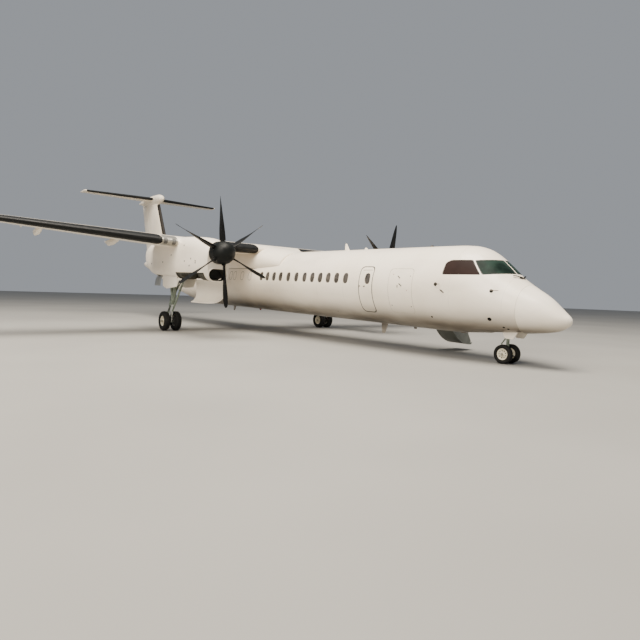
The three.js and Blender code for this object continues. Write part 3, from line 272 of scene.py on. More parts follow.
def turned(profile, origin, axis, sides=48, looped=False):
    """Body of revolution from [radius, place along the axis] points about an axis through origin."""
    axis = np.asarray(axis, float) / np.linalg.norm(axis)
    side = np.cross(axis, [0.0, 0.02, 1.0])
    side /= np.linalg.norm(side)
    other = np.cross(axis, side)
    angle = np.arange(sides) / sides * 2 * np.pi
    circle = np.cos(angle)[:, None] * side + np.sin(angle)[:, None] * other
    profile = np.asarray(profile, float)
    rings = np.asarray(origin) + profile[:, 1, None, None] * axis + profile[:, 0, None, None] * circle
    return skin("turned", rings, looped)


print("points on a rounded square", len(rounded(rectangle(0, 1, 0, 1), 0.2)))

# %% Shape tools: cutting, joining and moving


def copy_of(obj):
    """A second object with a mesh of its own."""
    twin = obj.copy()
    twin.data = obj.data.copy()
    bpy.context.scene.collection.objects.link(twin)
    return twin


def carve(target, operation, *tools):
    """Joins, cuts or intersects closed bodies and keeps the result as a plain mesh."""
    for tool in tools:
        modifier = target.modifiers.new("carve", "BOOLEAN")
        modifier.operation, modifier.solver, modifier.object = operation, "MANIFOLD", tool
    bpy.context.view_layer.update()
    shaped = target.evaluated_get(bpy.context.evaluated_depsgraph_get())
    mesh = bpy.data.meshes.new_from_object(shaped)
    target.modifiers.clear()
    target.data = mesh
    for tool in set(tools):
        bpy.data.objects.remove(tool)
    return target


def cut(target, *tools):
    """What is left of the target outside every tool."""
    return carve(target, "DIFFERENCE", *tools)


def common(target, *tools):
    """What lies in the target and in every tool."""
    return carve(target, "INTERSECT", *tools)


def joined(target, *tools):
    """The target and the tools as one body."""
    return carve(target, "UNION", *tools)


def gathered(name, objects):
    """Several bodies that only touch or stand apart, as one mesh."""
    with bpy.context.temp_override(active_object=objects[0], selected_editable_objects=objects):
        bpy.ops.object.join()
    objects[0].name = name
    return objects[0]


def across_plane(obj):
    """The mirror image on the other side of x = 0, with its faces still pointing outwards."""
    twin = copy_of(obj)
    twin.data.transform(Matrix.Diagonal((-1, 1, 1, 1)))
    work = bmesh.new()
    work.from_mesh(twin.data)
    bmesh.ops.remove_doubles(work, verts=work.verts, dist=1e-6)
    bmesh.ops.recalc_face_normals(work, faces=work.faces)
    work.to_mesh(twin.data)
    work.free()
    return twin


def across_plane_only(obj):
    """The mirror image in place of the piece itself."""
    twin = across_plane(obj)
    bpy.data.objects.remove(obj)
    return twin


def both_sides(obj):
    """The piece and its mirror image, as one mesh of two bodies."""
    return gathered(obj.name, [obj, across_plane(obj)])


def two_sides(obj):
    """The mirror image under the word right, and the piece itself under the word left."""
    return ("right", across_plane(obj)), ("left", obj)


def moved(obj, x=0.0, s=0.0, h=0.0):
    """The piece shifted by so many mm."""
    obj.data.transform(Matrix.Translation((x * MM, s * MM, h * MM)))
    return obj


def swung(obj, degrees, x, h):
    """Turned about a line that runs fore and aft through x, h."""
    pivot = Matrix.Translation((x * MM, 0, h * MM))
    obj.data.transform(pivot @ Matrix.Rotation(np.radians(degrees), 4, "Y") @ pivot.inverted())
    return obj


def points_of(mesh):
    """All points of a mesh as one array."""
    flat = np.empty(len(mesh.vertices) * 3, np.float32)
    mesh.vertices.foreach_get("co", flat)
    return flat.reshape(-1, 3)


def centres_of(mesh):
    """The middles of a mesh's faces as one array."""
    flat = np.empty(len(mesh.polygons) * 3, np.float32)
    mesh.polygons.foreach_get("center", flat)
    return flat.reshape(-1, 3)


# %% Shape tools: setting a piece on the ground and on its body


def drawn_at(obj):
    """Keeps each point's place in the airframe's own axes, for the finishes to read."""
    points = points_of(obj.data)
    attribute = obj.data.attributes.get("drawn") or obj.data.attributes.new("drawn", "FLOAT_VECTOR", "POINT")
    attribute.data.foreach_set("vector", points.ravel())


def mount(obj, name, body, materials, replaces=(), slot=None, crease=32, inner=None):
    """Sets a drawn piece on the ground and fixes it to its body: smooth shading with edges kept sharp
    past the crease angle, its finish, and the CAD nodes that it stands for. Inner picks, from the
    face centres in mm, the faces that take the second material."""
    materials = materials if isinstance(materials, (list, tuple)) else [materials]
    obj.name = obj.data.name = name
    if "drawn" not in obj.data.attributes:
        drawn_at(obj)
    obj.data.materials.clear()
    for material in materials:
        obj.data.materials.append(material)
    chosen = np.zeros(len(obj.data.polygons), np.int32)
    if inner is not None:
        chosen = inner(centres_of(obj.data) / MM).astype(np.int32)
    obj.data.polygons.foreach_set("material_index", chosen)
    obj.data.transform(GROUND)
    obj.data.shade_smooth()
    obj.data.set_sharp_from_angle(angle=np.radians(crease))
    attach(obj, body)
    if replaces:
        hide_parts(*([replaces] if isinstance(replaces, str) else replaces))
    return obj


def dress(obj, node, part, materials, slot="paint", **more):
    """Mounts the piece that stands for one CAD node: it takes the node's name and body. The slot is not used.
    """
    return mount(obj, f"{node}_{part}", BODY_OF[node], materials, node, slot, **more)


print("bodies that pieces can ride on", sorted(set(BODY_OF.values())))

# %% [markdown]
# ## Finishes
# Every finish is worked out from the point's own place on the airframe, which each mesh keeps as the
# attribute "drawn", in metres. Sizes of grain, rivets and streaks are real ones, and those that are
# too fine to show are drawn coarser.

# %% Finishes: tools


def linear(code):
    """sRGB hex colour as linear red, green, blue and alpha."""
    value = np.array([int(code[k:k + 2], 16) for k in (1, 3, 5)]) / 255
    value = np.where(value <= 0.04045, value / 12.92, ((value + 0.055) / 1.055) ** 2.4)
    return (*[float(v) for v in value], 1.0)


def add(tree, kind, inputs=(), out=0, **settings):
    """Adds a node with its settings and links, and gives back one of its outputs. Inputs maps a
    socket's name or number to a value or to another node's output."""
    node = tree.nodes.new("ShaderNode" + kind)
    for name, value in settings.items():
        setattr(node, name, value)
    for key, value in dict(inputs).items():
        socket = node.inputs[key]
        if isinstance(value, bpy.types.NodeSocket):
            tree.links.new(value, socket)
        else:
            socket.default_value = value
    return node.outputs[out]


SMOOTH = {"interpolation_type": "SMOOTHSTEP"}
COLOURS = {"data_type": "RGBA", "out": 2}
TIMES, PLUS, MINUS, LARGER = ({"operation": word} for word in ("MULTIPLY", "ADD", "SUBTRACT", "MAXIMUM"))


def place_of(tree):
    """The point's place on the airframe, and its x, s and h."""
    vector = add(tree, "Attribute", out="Vector", attribute_name="drawn")
    return vector, *add(tree, "SeparateXYZ", {0: vector}).node.outputs


def seams(tree, value, pitch, half_width):
    """1 on lines a pitch apart and 0 off them: the value folded to and fro, then stepped down."""
    away = add(tree, "Math", {0: value, 1: pitch / 2}, operation="PINGPONG")
    return add(tree, "MapRange", {0: away, 1: half_width * 0.4, 2: half_width, 3: 1.0, 4: 0.0}, **SMOOTH)


def surface(name, roughness=0.5, metallic=0.0, **sockets):
    """A new material with its tree and its shader, whose even values are set on the shader itself."""
    material = bpy.data.materials.new(name)
    material.use_nodes = True
    tree = material.node_tree
    shader = next(n for n in tree.nodes if n.type == "BSDF_PRINCIPLED")
    for key, value in {"Roughness": roughness, "Metallic": metallic, **sockets}.items():
        shader.inputs[key.replace("_", " ")].default_value = value
    return material, tree, shader


def wire(tree, shader, colour, roughness=None, height=None, distance=0.001, strength=1.0):
    """Leads a colour, a roughness and a bump height, in parts of distance, into the shader."""
    tree.links.new(colour, shader.inputs["Base Color"])
    if roughness is not None:
        tree.links.new(roughness, shader.inputs["Roughness"])
    if height is not None:
        bump = add(tree, "Bump", {"Height": height, "Distance": distance, "Strength": strength})
        tree.links.new(bump, shader.inputs["Normal"])


print("white in linear light", linear("#ffffff"))

# %% [markdown]
# ### Paint
# The airframe is aluminium sheet riveted on frames, degreased, primed and sprayed with white enamel.
# An image of dirt would be the usual way. Noise is used here, because dirt then follows the real heights of
# the belly and runs aft in streaks on every panel alike. The browning towards the belly is that dirt and
# painted shade together.

# %% Finishes: white paint, and the paint on the nose cone
FRAME_PITCH = 1.52
SEAM_HALF, RIVET_ROW, RIVET_PITCH, HULL_RADIUS = 0.006, 0.03, 0.05, 1.344


def paint(name, clean, worn, grime_and_shade, belly_dirt_and_shade=None, pitch=None, roughness=0.34):
    """Sprayed enamel on riveted sheet. Its gloss is a little uneven, dirt lies thinly over it and runs
    back in streaks, and from the belly height down it is browner and darker, which is dirt and painted
    shade together. Pitch is the spacing of the frames, in metres, which show as faint joints with a row
    of rivets. Joints and rivets are drawn 12 mm wide, because real ones of 2 to 5 mm are too fine to show."""
    material, tree, shader = surface(name, roughness, Coat_Weight=0.25, Coat_Roughness=0.12)
    vector, x, s, h = place_of(tree)
    drawn_out = add(tree, "VectorMath", {0: vector, 1: (1.6, 0.5, 1.3)}, **TIMES)
    cloud = add(tree, "TexNoise", {"Vector": vector, "Scale": 0.9, "Detail": 4.0})
    streak = add(tree, "TexNoise", {"Vector": drawn_out, "Scale": 1.1, "Detail": 5.0})
    grain = add(tree, "TexNoise", {"Vector": vector, "Scale": 90.0, "Detail": 2.0})
    wear = add(tree, "MapRange", {0: cloud, 1: 0.35, 2: 0.7}, **SMOOTH)
    colour = add(tree, "Mix", {0: wear, 6: linear(clean), 7: linear(worn)}, **COLOURS)
    thin = add(tree, "MapRange", {0: streak, 1: 0.45, 2: 0.75}, **SMOOTH)
    dirt_and_belly_shade = add(tree, "Math", {0: thin, 1: 0.12}, **TIMES)
    # Below the belly height the grime tone is mixed in thickly: dirt, with painted shade under the belly.
    if belly_dirt_and_shade is not None:
        low = add(tree, "MapRange", {0: h, 1: belly_dirt_and_shade[0], 2: belly_dirt_and_shade[1], 3: 1.0, 4: 0.0}, **SMOOTH)
        thick = add(tree, "MapRange", {0: streak, 1: 0.2, 2: 0.75, 3: 0.66, 4: 0.96}, **SMOOTH)
        dirt_and_belly_shade = add(tree, "Math", {0: dirt_and_belly_shade, 1: add(tree, "Math", {0: low, 1: thick}, **TIMES)}, **LARGER)
    height = add(tree, "Math", {0: grain, 1: 0.06}, **TIMES)
    if pitch is not None:
        joint = seams(tree, s, pitch, SEAM_HALF)
        dirt_and_belly_shade = add(tree, "Math", {0: dirt_and_belly_shade, 1: add(tree, "Math", {0: joint, 1: 0.22}, **TIMES)}, **LARGER)
        row = seams(tree, add(tree, "Math", {0: s, 1: RIVET_ROW}, **PLUS), pitch, SEAM_HALF)
        angle = add(tree, "Math", {0: h, 1: x}, operation="ARCTAN2")
        girth = add(tree, "Math", {0: angle, 1: HULL_RADIUS}, **TIMES)
        rivets = add(tree, "Math", {0: row, 1: seams(tree, girth, RIVET_PITCH, SEAM_HALF)}, **TIMES)
        height = add(tree, "Math", {0: height, 1: add(tree, "Math", {0: joint, 1: 0.5}, **TIMES)}, **MINUS)
        height = add(tree, "Math", {0: height, 1: add(tree, "Math", {0: rivets, 1: 0.35}, **TIMES)}, **PLUS)
    colour = add(tree, "Mix", {0: dirt_and_belly_shade, 6: colour, 7: linear(grime_and_shade)}, **COLOURS)
    gloss = {0: cloud, 1: 0.3, 2: 0.7, 3: roughness - 0.06, 4: roughness + 0.1}
    wire(tree, shader, colour, add(tree, "MapRange", gloss, **SMOOTH), height, 0.002, 0.6)
    return material


# The fuselage and its doors are browned below by what the wheels and drains throw up, and darkened there
# by painted shade under the belly.
HULL_TONES = dict(clean="#fdf2e1", worn="#f8ecd9", grime_and_shade="#4a3f31", belly_dirt_and_shade=(-1.2, -0.45))
WHITE = paint("enamel_on_aluminium_sheet", **HULL_TONES, pitch=FRAME_PITCH)
DOOR_WHITE = paint("enamel_on_doors", **HULL_TONES)
# Wings and cowls have flush rivets and stay cleaner, so only their dust and streaks show, but the nacelles
# are also darker towards the bottom: dirt with painted shade.
WING_WHITE = paint("enamel_on_wing_skin", "#f7eddc", "#eee2cf", "#7b6f5e")
NACELLE_WHITE = paint("enamel_on_cowlings", "#fcf1e0", "#f6ead8", "#75695a", belly_dirt_and_shade=(-0.5, 0.25))
COWL_WHITE = paint("enamel_on_cowl_doors", "#fcf2e2", "#f6ebd9", "#a8987f")
# The nose cone is glass fibre with a thicker, flatter coat against rain. Its lower part darkens like the
# belly, with dirt and painted shade.
RADOME = paint("enamel_on_glass_fibre_cone", "#fdf3e3", "#f9eedc", "#5b4f3f", belly_dirt_and_shade=(-1.2, -0.7),
               roughness=0.4)
print("white paints", len(bpy.data.materials))

# %% [markdown]
# ### Rubber, glass, metal and the dark insides
# Everything that isn't white is one even material with a little drift in tone and gloss. A flat colour
# would look like plastic film, so each mixes two measured tones at its own grain, with a fine bump.

# %% Finishes: rubber, glass, metal and the dark insides


def mottled(name, first, second, scale, roughness, metallic=0.0, relief=0.1, distance=0.0005, **sockets):
    """Plain material whose colour and gloss drift between two tones at one grain size, per metre."""
    material, tree, shader = surface(name, roughness, metallic, **sockets)
    vector = place_of(tree)[0]
    cloud = add(tree, "TexNoise", {"Vector": vector, "Scale": scale, "Detail": 4.0})
    fine = add(tree, "TexNoise", {"Vector": vector, "Scale": scale * 12, "Detail": 2.0})
    share = add(tree, "MapRange", {0: cloud, 1: 0.3, 2: 0.7}, **SMOOTH)
    colour = add(tree, "Mix", {0: share, 6: linear(first), 7: linear(second)}, **COLOURS)
    gloss = {0: cloud, 1: 0.3, 2: 0.7, 3: max(0.02, roughness - 0.08), 4: min(1.0, roughness + 0.08)}
    height = add(tree, "Math", {0: fine, 1: relief}, **TIMES)
    wire(tree, shader, colour, add(tree, "MapRange", gloss, **SMOOTH), height, distance)
    return material


# De-icing boots are moulded rubber sheet, glued on: dull black that greys in the sun.
BOOT = mottled("de_icer_boot_rubber", "#080909", "#111212", 6.0, 0.5, relief=0.3, Specular_IOR_Level=0.25)
# The fin's boot has greyed and browned more in the weather than the others.
FIN_BOOT = mottled("weathered_boot_rubber", "#211e1b", "#302c28", 2.2, 0.6, relief=0.3,
                  Specular_IOR_Level=0.2)
# Window seals are soft black extrusion, pressed in.
SEAL = mottled("window_seal_rubber", "#202122", "#2c2d2d", 20.0, 0.6)
# Cabin panes are stretched acrylic over a dark cabin: they look like dark mirrors. Their colour is that
# dark cabin painted into the pane: painted shade.
PANE = mottled("acrylic_pane_with_painted_cabin_shade", "#3a3734", "#57524d", 3.0, 0.08, relief=0.0)
# Cockpit glass is laminated, and tinted: brownish at the side and green in front, over a dark cockpit.
# The dark of the cockpit behind is painted into the glass's colour: painted shade.
SIDE_GLASS = mottled("cockpit_side_glass_with_painted_shade", "#271e1c", "#302522", 1.5, 0.45, relief=0.0,
                    Specular_IOR_Level=0.03)
FRONT_GLASS = mottled("windscreen_glass_with_painted_shade", "#0b1411", "#2a3b34", 1.7, 0.35, relief=0.0,
                      Specular_IOR_Level=0.04)
# Blades are carbon skins under a thin matt erosion coat.
BLADE_COAT = mottled("blade_erosion_coat", "#070808", "#0f1010", 9.0, 0.5, relief=0.2,
                    Specular_IOR_Level=0.15)
# Spinners are spun sheet, sprayed black and polished a little smoother than the blades.
SPINNER_PAINT = mottled("spinner_paint", "#070908", "#0d100f", 5.0, 0.5, relief=0.03, Specular_IOR_Level=0.2)
# The leg forgings wear pale grey-green epoxy enamel over primer.
GEAR_ENAMEL = mottled("epoxy_enamel_on_forgings", "#8f9b8c", "#6c7566", 7.0, 0.42, relief=0.25)
# Pistons are ground and hard chromed, the one mirror on a leg.
CHROME = mottled("hard_chromed_piston", "#c9cccd", "#b7babb", 30.0, 0.14, metallic=1.0, relief=0.02)
# Wheels are cast and enamelled cream, with the faint pebble of the mould under the paint.
HUB = mottled("enamel_on_cast_wheel", "#efe8d2", "#d9d0b8", 12.0, 0.36, relief=0.2)
# Steel near the exhaust is stained straw and grey by heat, and probes wear the same.
STEEL = mottled("heat_stained_steel", "#8c847a", "#5f5a55", 9.0, 0.35, metallic=1.0, relief=0.2)
# Bare sheet and turned axles are rolled or cut alloy, dulled by a thin oxide.
ALLOY = mottled("bare_alloy_sheet", "#c4c0b6", "#a39f95", 11.0, 0.38, metallic=0.9, relief=0.15)
# The airstair is pressed sheet, drawn in a mid grey, flatter than the hull's paint and scuffed where it is
# stepped on. Inside, its treads and walls take a darker copy of that grey, which is painted shade.
STAIR = mottled("mid_grey_on_stair_shell", "#85877f", "#7b7d75", 2.0, 0.42, relief=0.1)
STAIR_INSIDE_IN_SHADE = mottled("stair_treads_and_walls_in_painted_shade", "#7c7f78", "#6d706a", 3.0, 0.5, relief=0.2)
# A panel is lacquered grey inside, where nobody polishes it.
DOOR_LINING = mottled("grey_lacquer_inside_panel", "#8e908e", "#848684", 3.0, 0.4, relief=0.1)
# Bays keep their brush-laid primer under oily grime, and are drawn darker still for the shade in them:
# painted shade.
PRIMER_GRIME_AND_SHADE = mottled("primer_grime_and_painted_shade_in_bays", "#4b483c", "#2f2d27", 4.0, 0.65, relief=0.4)
# The entry is lined with moulded panels, matt and warm grey.
CABIN_LINING = mottled("entry_lining_panels", "#b7b0a3", "#9c9588", 3.0, 0.6, relief=0.2)
# Ducts are black, with no gloss at all: soot in the exhaust, and painted shade deep in the intake.
SOOT_AND_PAINTED_SHADE = mottled("soot_and_painted_shade_in_ducts", "#121212", "#1e1d1c", 10.0, 0.7, relief=0.3)
# Engine cases are sand cast, so they are coarse and only half metallic to the eye.
CASTING = mottled("engine_castings", "#7b7c78", "#55564f", 8.0, 0.45, metallic=0.6, relief=0.4)
# Tyres are moulded rubber, dusty and without shine.
TYRE = mottled("tyre_rubber", "#111110", "#1c1b19", 14.0, 0.8, relief=0.5, distance=0.001,
               Specular_IOR_Level=0.3)
# The bare root piece of each leading edge is burnished sheet with worn grey sealant patches.
PATCH = mottled("grey_sealant_patch", "#63625f", "#4c4b49", 9.0, 0.65, relief=0.3)
# A joint between two painted sheets is filled and painted over, and shows only as a slightly dirty line.
JOINT = mottled("filled_joint_line", "#b3a995", "#c6bdab", 4.0, 0.5, relief=0.05)
# A window that is plated over keeps a darker rim, where the filler has shrunk.
RIM = mottled("rim_of_a_filled_window", "#8f8778", "#a39a89", 4.0, 0.5, relief=0.05)
# Small marks are stencilled in flat black and red paint.
MARK = mottled("dark_marking_paint", "#0e0d0c", "#181614", 25.0, 0.6, relief=0.05, Specular_IOR_Level=0.15)
RED_MARK = mottled("red_warning_paint", "#9e3a31", "#87302a", 25.0, 0.5, relief=0.05)
# Lamp covers are moulded clear plastic, tinted right through: bright glints on a deep colour.
RED_GLASS = mottled("red_lamp_cover", "#8f1d18", "#a52a22", 20.0, 0.1, relief=0.0)
GREEN_GLASS = mottled("green_lamp_cover", "#14603a", "#1c7247", 20.0, 0.1, relief=0.0)
# Hoses have a woven steel or fabric jacket. Its 1 mm braid is drawn coarser, as a fine bump.
HOSE = mottled("braided_hose", "#3f4042", "#55575a", 60.0, 0.45, relief=0.6)
# Brake packs are pressed carbon with a dull graphite sheen.
BRAKE = mottled("carbon_brake_pack", "#3b3c3e", "#55534f", 22.0, 0.5, metallic=0.4, relief=0.3)
# Pipes are drawn stainless tube, browned a little by heat.
PIPE = mottled("stainless_pipe", "#a39c90", "#7d766c", 14.0, 0.3, metallic=1.0, relief=0.1)
print("finishes", len(bpy.data.materials))

# %% [markdown]
# ## Fuselage
# A tube of frames, stringers and sheet, drawn as one hull from the nose cone to the tail. It is cut
# into its four sections, and each loses its doors, panes and bays.

# %% Fuselage: the hull
FUSELAGE_COLUMNS = ["station", "top", "bottom", "half", "waist"]
FUSELAGE = faired(table_of(FUSELAGE_COLUMNS, [
    [0, -712, -792, 42, -752],
    [45, -632, -862, 132, -745],
    [150, -545, -945, 240, -730],
    [330, -390, -1035, 365, -705],
    [650, -130, -1103, 545, -640],
    [1050, 105, -1155, 725, -550],
    [1400, 315, -1195, 860, -450],
    [1620, 470, -1213, 935, -400],
    [1850, 680, -1230, 1005, -340],
    [2150, 930, -1247, 1082, -270],
    [2400, 1110, -1262, 1137, -215],
    [2650, 1232, -1282, 1182, -165],
    [3000, 1314, -1312, 1238, -110],
    [3500, 1341, -1336, 1295, -50],
    [4300, 1344, -1344, 1344, 0],
    [19800, 1344, -1344, 1344, 0],
    [21500, 1344, -1230, 1320, 60],
    [23500, 1335, -900, 1230, 210],
    [25500, 1310, -480, 1050, 420],
    [27500, 1270, -30, 790, 640],
    [29200, 1210, 350, 530, 800],
    [30600, 1130, 660, 280, 900],
    [31250, 1050, 800, 110, 925],
]), 8)
FUSELAGE_SIDES = 144
RADIUS = 1344.0
SECTION_ENDS = {"radome": (-1, 1180), "forward_fuselage": (1180.3, 7050),
                "cabin_fuselage": (7050.3, 19600), "aft_fuselage": (19600.3, 31251)}


def hull(inset=0.0):
    """The whole fuselage as a closed body, its tip drawn in to a small flat inside the first row."""
    rings = body_rings(FUSELAGE, FUSELAGE_SIDES, inset)
    tip = rings[0].mean(0)
    steps = (0.3, 0), (0.7, 1), (1, 3.5)
    nose = np.stack([tip + (rings[0] - tip) * share + [0, back, 0] for share, back in steps])
    return skin("hull", np.concatenate([nose, rings[1:]]))


HULL = hull()


def slab(start, end):
    """All the room between two stations."""
    return box((-4000, start, -4000), (4000, end, 4000))


def prism_to(depth, outline, side):
    """What an outline takes from the skin of one side down to a depth, and the air outside it."""
    return cut(prism(outline, *sorted((side * 0.5, side * 2500))), hull(depth))


def band_on(outline, inside, side, proud=1.5):
    """Thin strip between two outlines, standing proud mm off the skin of one side."""
    hole = prism(inside, *sorted((side * 0.4, side * 2600)))
    room = cut(prism(outline, *sorted((side * 0.5, side * 2500))), hole)
    return cut(common(hull(-proud), room), hull(3))


def on_hull(station, height, side):
    """The skin's point at a station and height, and the direction square to the skin there."""
    def point(s, h):
        """The skin's own point: its half-width at that station and height, on the given side."""
        return np.array([side * skin_x(FUSELAGE, s, h), s, h])
    here = point(station, height)
    out = np.cross(point(station + 20, height) - here, point(station, height + 20) - here)
    out = out / np.linalg.norm(out)
    return here, out if out[0] * side > 0 else -out


def disc_on(station, height, side, radius, thick):
    """Low round button on the skin, its rim rounded over."""
    here, out = on_hull(station, height, side)
    profile = [(0.5, -6), (radius, -6), (radius, thick * 0.5), (radius * 0.9, thick), (0.5, thick)]
    return turned(profile, here, out, 24)


print("hull rings", len(FUSELAGE["station"]), "sides", FUSELAGE_SIDES)

# %% [markdown]
# ### Openings
# Doors and windows are known by their outlines in side view: start, end, low, high and corner radius.
# A door could be modelled apart and fitted in, but cutting both the hole and the panel from one hull
# leaves an even gap and no step.

# %% Fuselage: doors, panes and windows by their outlines
PANEL_DEPTH, PANEL_GAP = 45, 4
SKIN_PANELS = [
    ("forward_emergency_exit", -1, 6120, 6750, -900, 620, 169.0),
    ("forward_baggage_door", -1, 4360, 5360, -840, 560, 143.0),
    ("aft_passenger_door", 1, 20150, 20910, -880, 870, 195.0),
    ("aft_service_door", -1, 20150, 20840, -700, 700, 195.0),
    ("aft_baggage_door", 1, 22400, 23700, -560, 800, 169.0),
]
DOORWAY, DOORWAY_CORNER = (4560, 5290, -1000, 720), 169.0
GLASS_DEPTH = 30
SIDE_WINDOW = [[2234, 417], [3310, 406], [3310, 757], [3168, 831], [2591, 835]]
WINDSCREEN = [[1600, 490], [2164, 434], [2507, 830], [2000, 864]]
WINDOWS = [7480, 7980, 8460, 8940, 9430, 9930, 10480, 11040, 11610, 12110, 12620, 13110]
AFT_WINDOWS = [17700, 18200, 18700]
DOOR_WINDOWS = {"forward_emergency_exit": 6360, "aft_passenger_door": 20530}
WINDOW_HEIGHT, WINDOW_HALF, WINDOW_RISE, WINDOW_CORNER = 220, 130, 190, 168.75
WINDOW_DEPTH = 16


def window_outline(station, grow=0.0):
    """Outline of the cabin window at a station."""
    return panel_outline(station - WINDOW_HALF, station + WINDOW_HALF, WINDOW_HEIGHT - WINDOW_RISE,
                         WINDOW_HEIGHT + WINDOW_RISE, WINDOW_CORNER, grow)


def side_window_outline(grow=0.0):
    """Outline of the cockpit's side window."""
    return rounded(grown(SIDE_WINDOW, grow), 55)


def windscreen_tool(side, depth, grow=0.0):
    """The windscreen's room: its outline seen from the side, between the centre post and the corner post."""
    x = sorted((side * (45 - grow), side * (985 + grow)))
    return cut(prism(rounded(grown(WINDSCREEN, grow), 45), *x), hull(depth))


print("cabin windows a side", len(WINDOWS + AFT_WINDOWS))

# %% Fuselage: the four sections
doorway = panel_outline(*DOORWAY, 93, 8)
VESTIBULE = ((60, 4500, -985), (2000, 5350, 790), 70)
NOSE_BAY = ((-300, 1190, -1500), (300, 2330, -620))


def tools_for(start, end):
    """Everything that a section of the hull between two stations loses."""
    tools = []
    for name, side, *outline in SKIN_PANELS:
        if start < outline[0] and outline[1] < end:
            tools.append(prism_to(PANEL_DEPTH + 3, panel_outline(*outline, PANEL_GAP), side))
    for side in (-1, 1):
        for s in WINDOWS + AFT_WINDOWS:
            if start < s - WINDOW_HALF and s + WINDOW_HALF < end:
                tools.append(prism_to(WINDOW_DEPTH, window_outline(s), side))
    return tools


def deep_faces(centres):
    """The faces that lie over 6 mm inside the hull, away from its two tips."""
    deep = depth_in(FUSELAGE, centres) > 6 / columns_at(FUSELAGE, centres[:, 1])["half"]
    return deep & (centres[:, 1] > 1250) & (centres[:, 1] < 31200)


AERIALS = [(8804, 295, 90, 190, 267, 1), (7780, 190, 110, 60, 70, 1), (6524, 350, 150, 140, 350, -1),
           (17600, 300, 150, 130, 240, -1)]
NOSE_JACK = [[0, 3300, -1352], [0, 3300, -1232]]


def blade_aerial(station, root, tip, rake, height, up):
    """Swept blade: lens-shaped rings, |t| = thick (1 - u^2)^0.8, that shrink from the skin to the end."""
    u = np.linspace(-1, 1, 15)
    front = np.stack([(1 - u**2) ** 0.8, u], -1)
    lens = np.concatenate([front, (front[1:-1] * [-1, 1])[::-1]])
    rings = []
    for part in (0, 0.5, 0.9, 1):
        chord, thick = root + (tip - root) * part, (22 - 12 * part) * (0.6 if part == 1 else 1)
        level = RADIUS - 20 + (height + 20) * part
        rings.append([[x * thick, station + rake * part + chord * (1 + y) / 2, up * level] for x, y in lens])
    return skin("aerial", rings)


for name, (start, end) in SECTION_ENDS.items():
    section = common(copy_of(HULL), slab(start, end))
    extras = [blade_aerial(*row) for row in AERIALS if start < row[0] < end]
    if name == "forward_fuselage":
        extras.append(tube(NOSE_JACK, 90, 40))
    if extras:
        joined(section, *extras)
    tools = tools_for(start, end)
    if name == "forward_fuselage":
        room = common(box(*VESTIBULE[:2]), hull(VESTIBULE[2]))
        tools += [room, box(*NOSE_BAY), prism(doorway, 60.5, 2500)]
        for side in (-1, 1):
            tools.append(windscreen_tool(side, GLASS_DEPTH, 2))
            tools.append(prism_to(GLASS_DEPTH, side_window_outline(2), side))
    if tools:
        cut(section, *tools)
    radome = name == "radome"
    dress(section, name, "skin", [RADOME if radome else WHITE, CABIN_LINING], "radome" if radome else "paint",
          inner=deep_faces)
    print(name, len(section.data.polygons), "faces")

# %% Fuselage: door panels that lie flush
for name, side, *outline in SKIN_PANELS:
    panel = common(copy_of(HULL), prism_to(PANEL_DEPTH, panel_outline(*outline), side))
    if name in DOOR_WINDOWS:
        cut(panel, prism_to(WINDOW_DEPTH, window_outline(DOOR_WINDOWS[name]), side))
    dress(panel, name, "panel", DOOR_WHITE)
print("door panels", len(SKIN_PANELS))

# %% [markdown]
# ### Glass
# Cabin panes are thin and bulge with the cabin, so each is a curved plate a few millimetres below the
# skin. The cockpit's glass is cut from the hull itself, because its edges follow the posts.

# %% Fuselage: glass


def pane_on(outline, side, depth, thick):
    """Curved pane under an outline, depth mm below the skin: rings drawn in from the outline towards
    its middle, each point set on the hull's own section, and the same again thick mm deeper."""
    outline = np.asarray(outline, float)
    middle = outline.mean(0)
    layers = []
    for deep, shares in ((depth, np.linspace(0.02, 1, 5)), (depth + thick, np.linspace(1, 0.02, 5))):
        for share in shares:
            s, h = (middle + (outline - middle) * share).T
            wall = skin_x(FUSELAGE, s, h, deep)
            layers.append(np.stack([side * wall, s, h], -1))
    return skin("pane", layers)


places = [(side, s) for side in (-1, 1) for s in WINDOWS + AFT_WINDOWS]
places += [(-1, DOOR_WINDOWS["forward_emergency_exit"]), (1, DOOR_WINDOWS["aft_passenger_door"])]
panes = [pane_on(window_outline(s, -9), side, 9, 5) for side, s in places]
print("cabin panes", len(panes))
mount(gathered("cabin_panes", panes), "cabin_window_panes", "airframe", PANE)

for side, word in ((1, "left"), (-1, "right")):
    front = common(copy_of(HULL), windscreen_tool(side, GLASS_DEPTH - 3))
    mount(front, f"windscreen_pane_{word}", "airframe", FRONT_GLASS, f"windscreen_{word}", "cockpit_glass")
    glass = common(copy_of(HULL), prism_to(GLASS_DEPTH - 3, side_window_outline(), side))
    mount(glass, f"side_window_pane_{word}", "airframe", SIDE_GLASS, f"cockpit_side_window_{word}",
          "cockpit_glass")

# %% [markdown]
# ### Seals, probes, aerials and marks
# Rubber seals round the doors and windscreens read as thin dark lines, so they are drawn as strips that
# stand a millimetre proud. Probes ahead of the doors are turned steel on small round bases. Marks are
# paint, but they are drawn as thin strokes and discs, which the export keeps as they are.

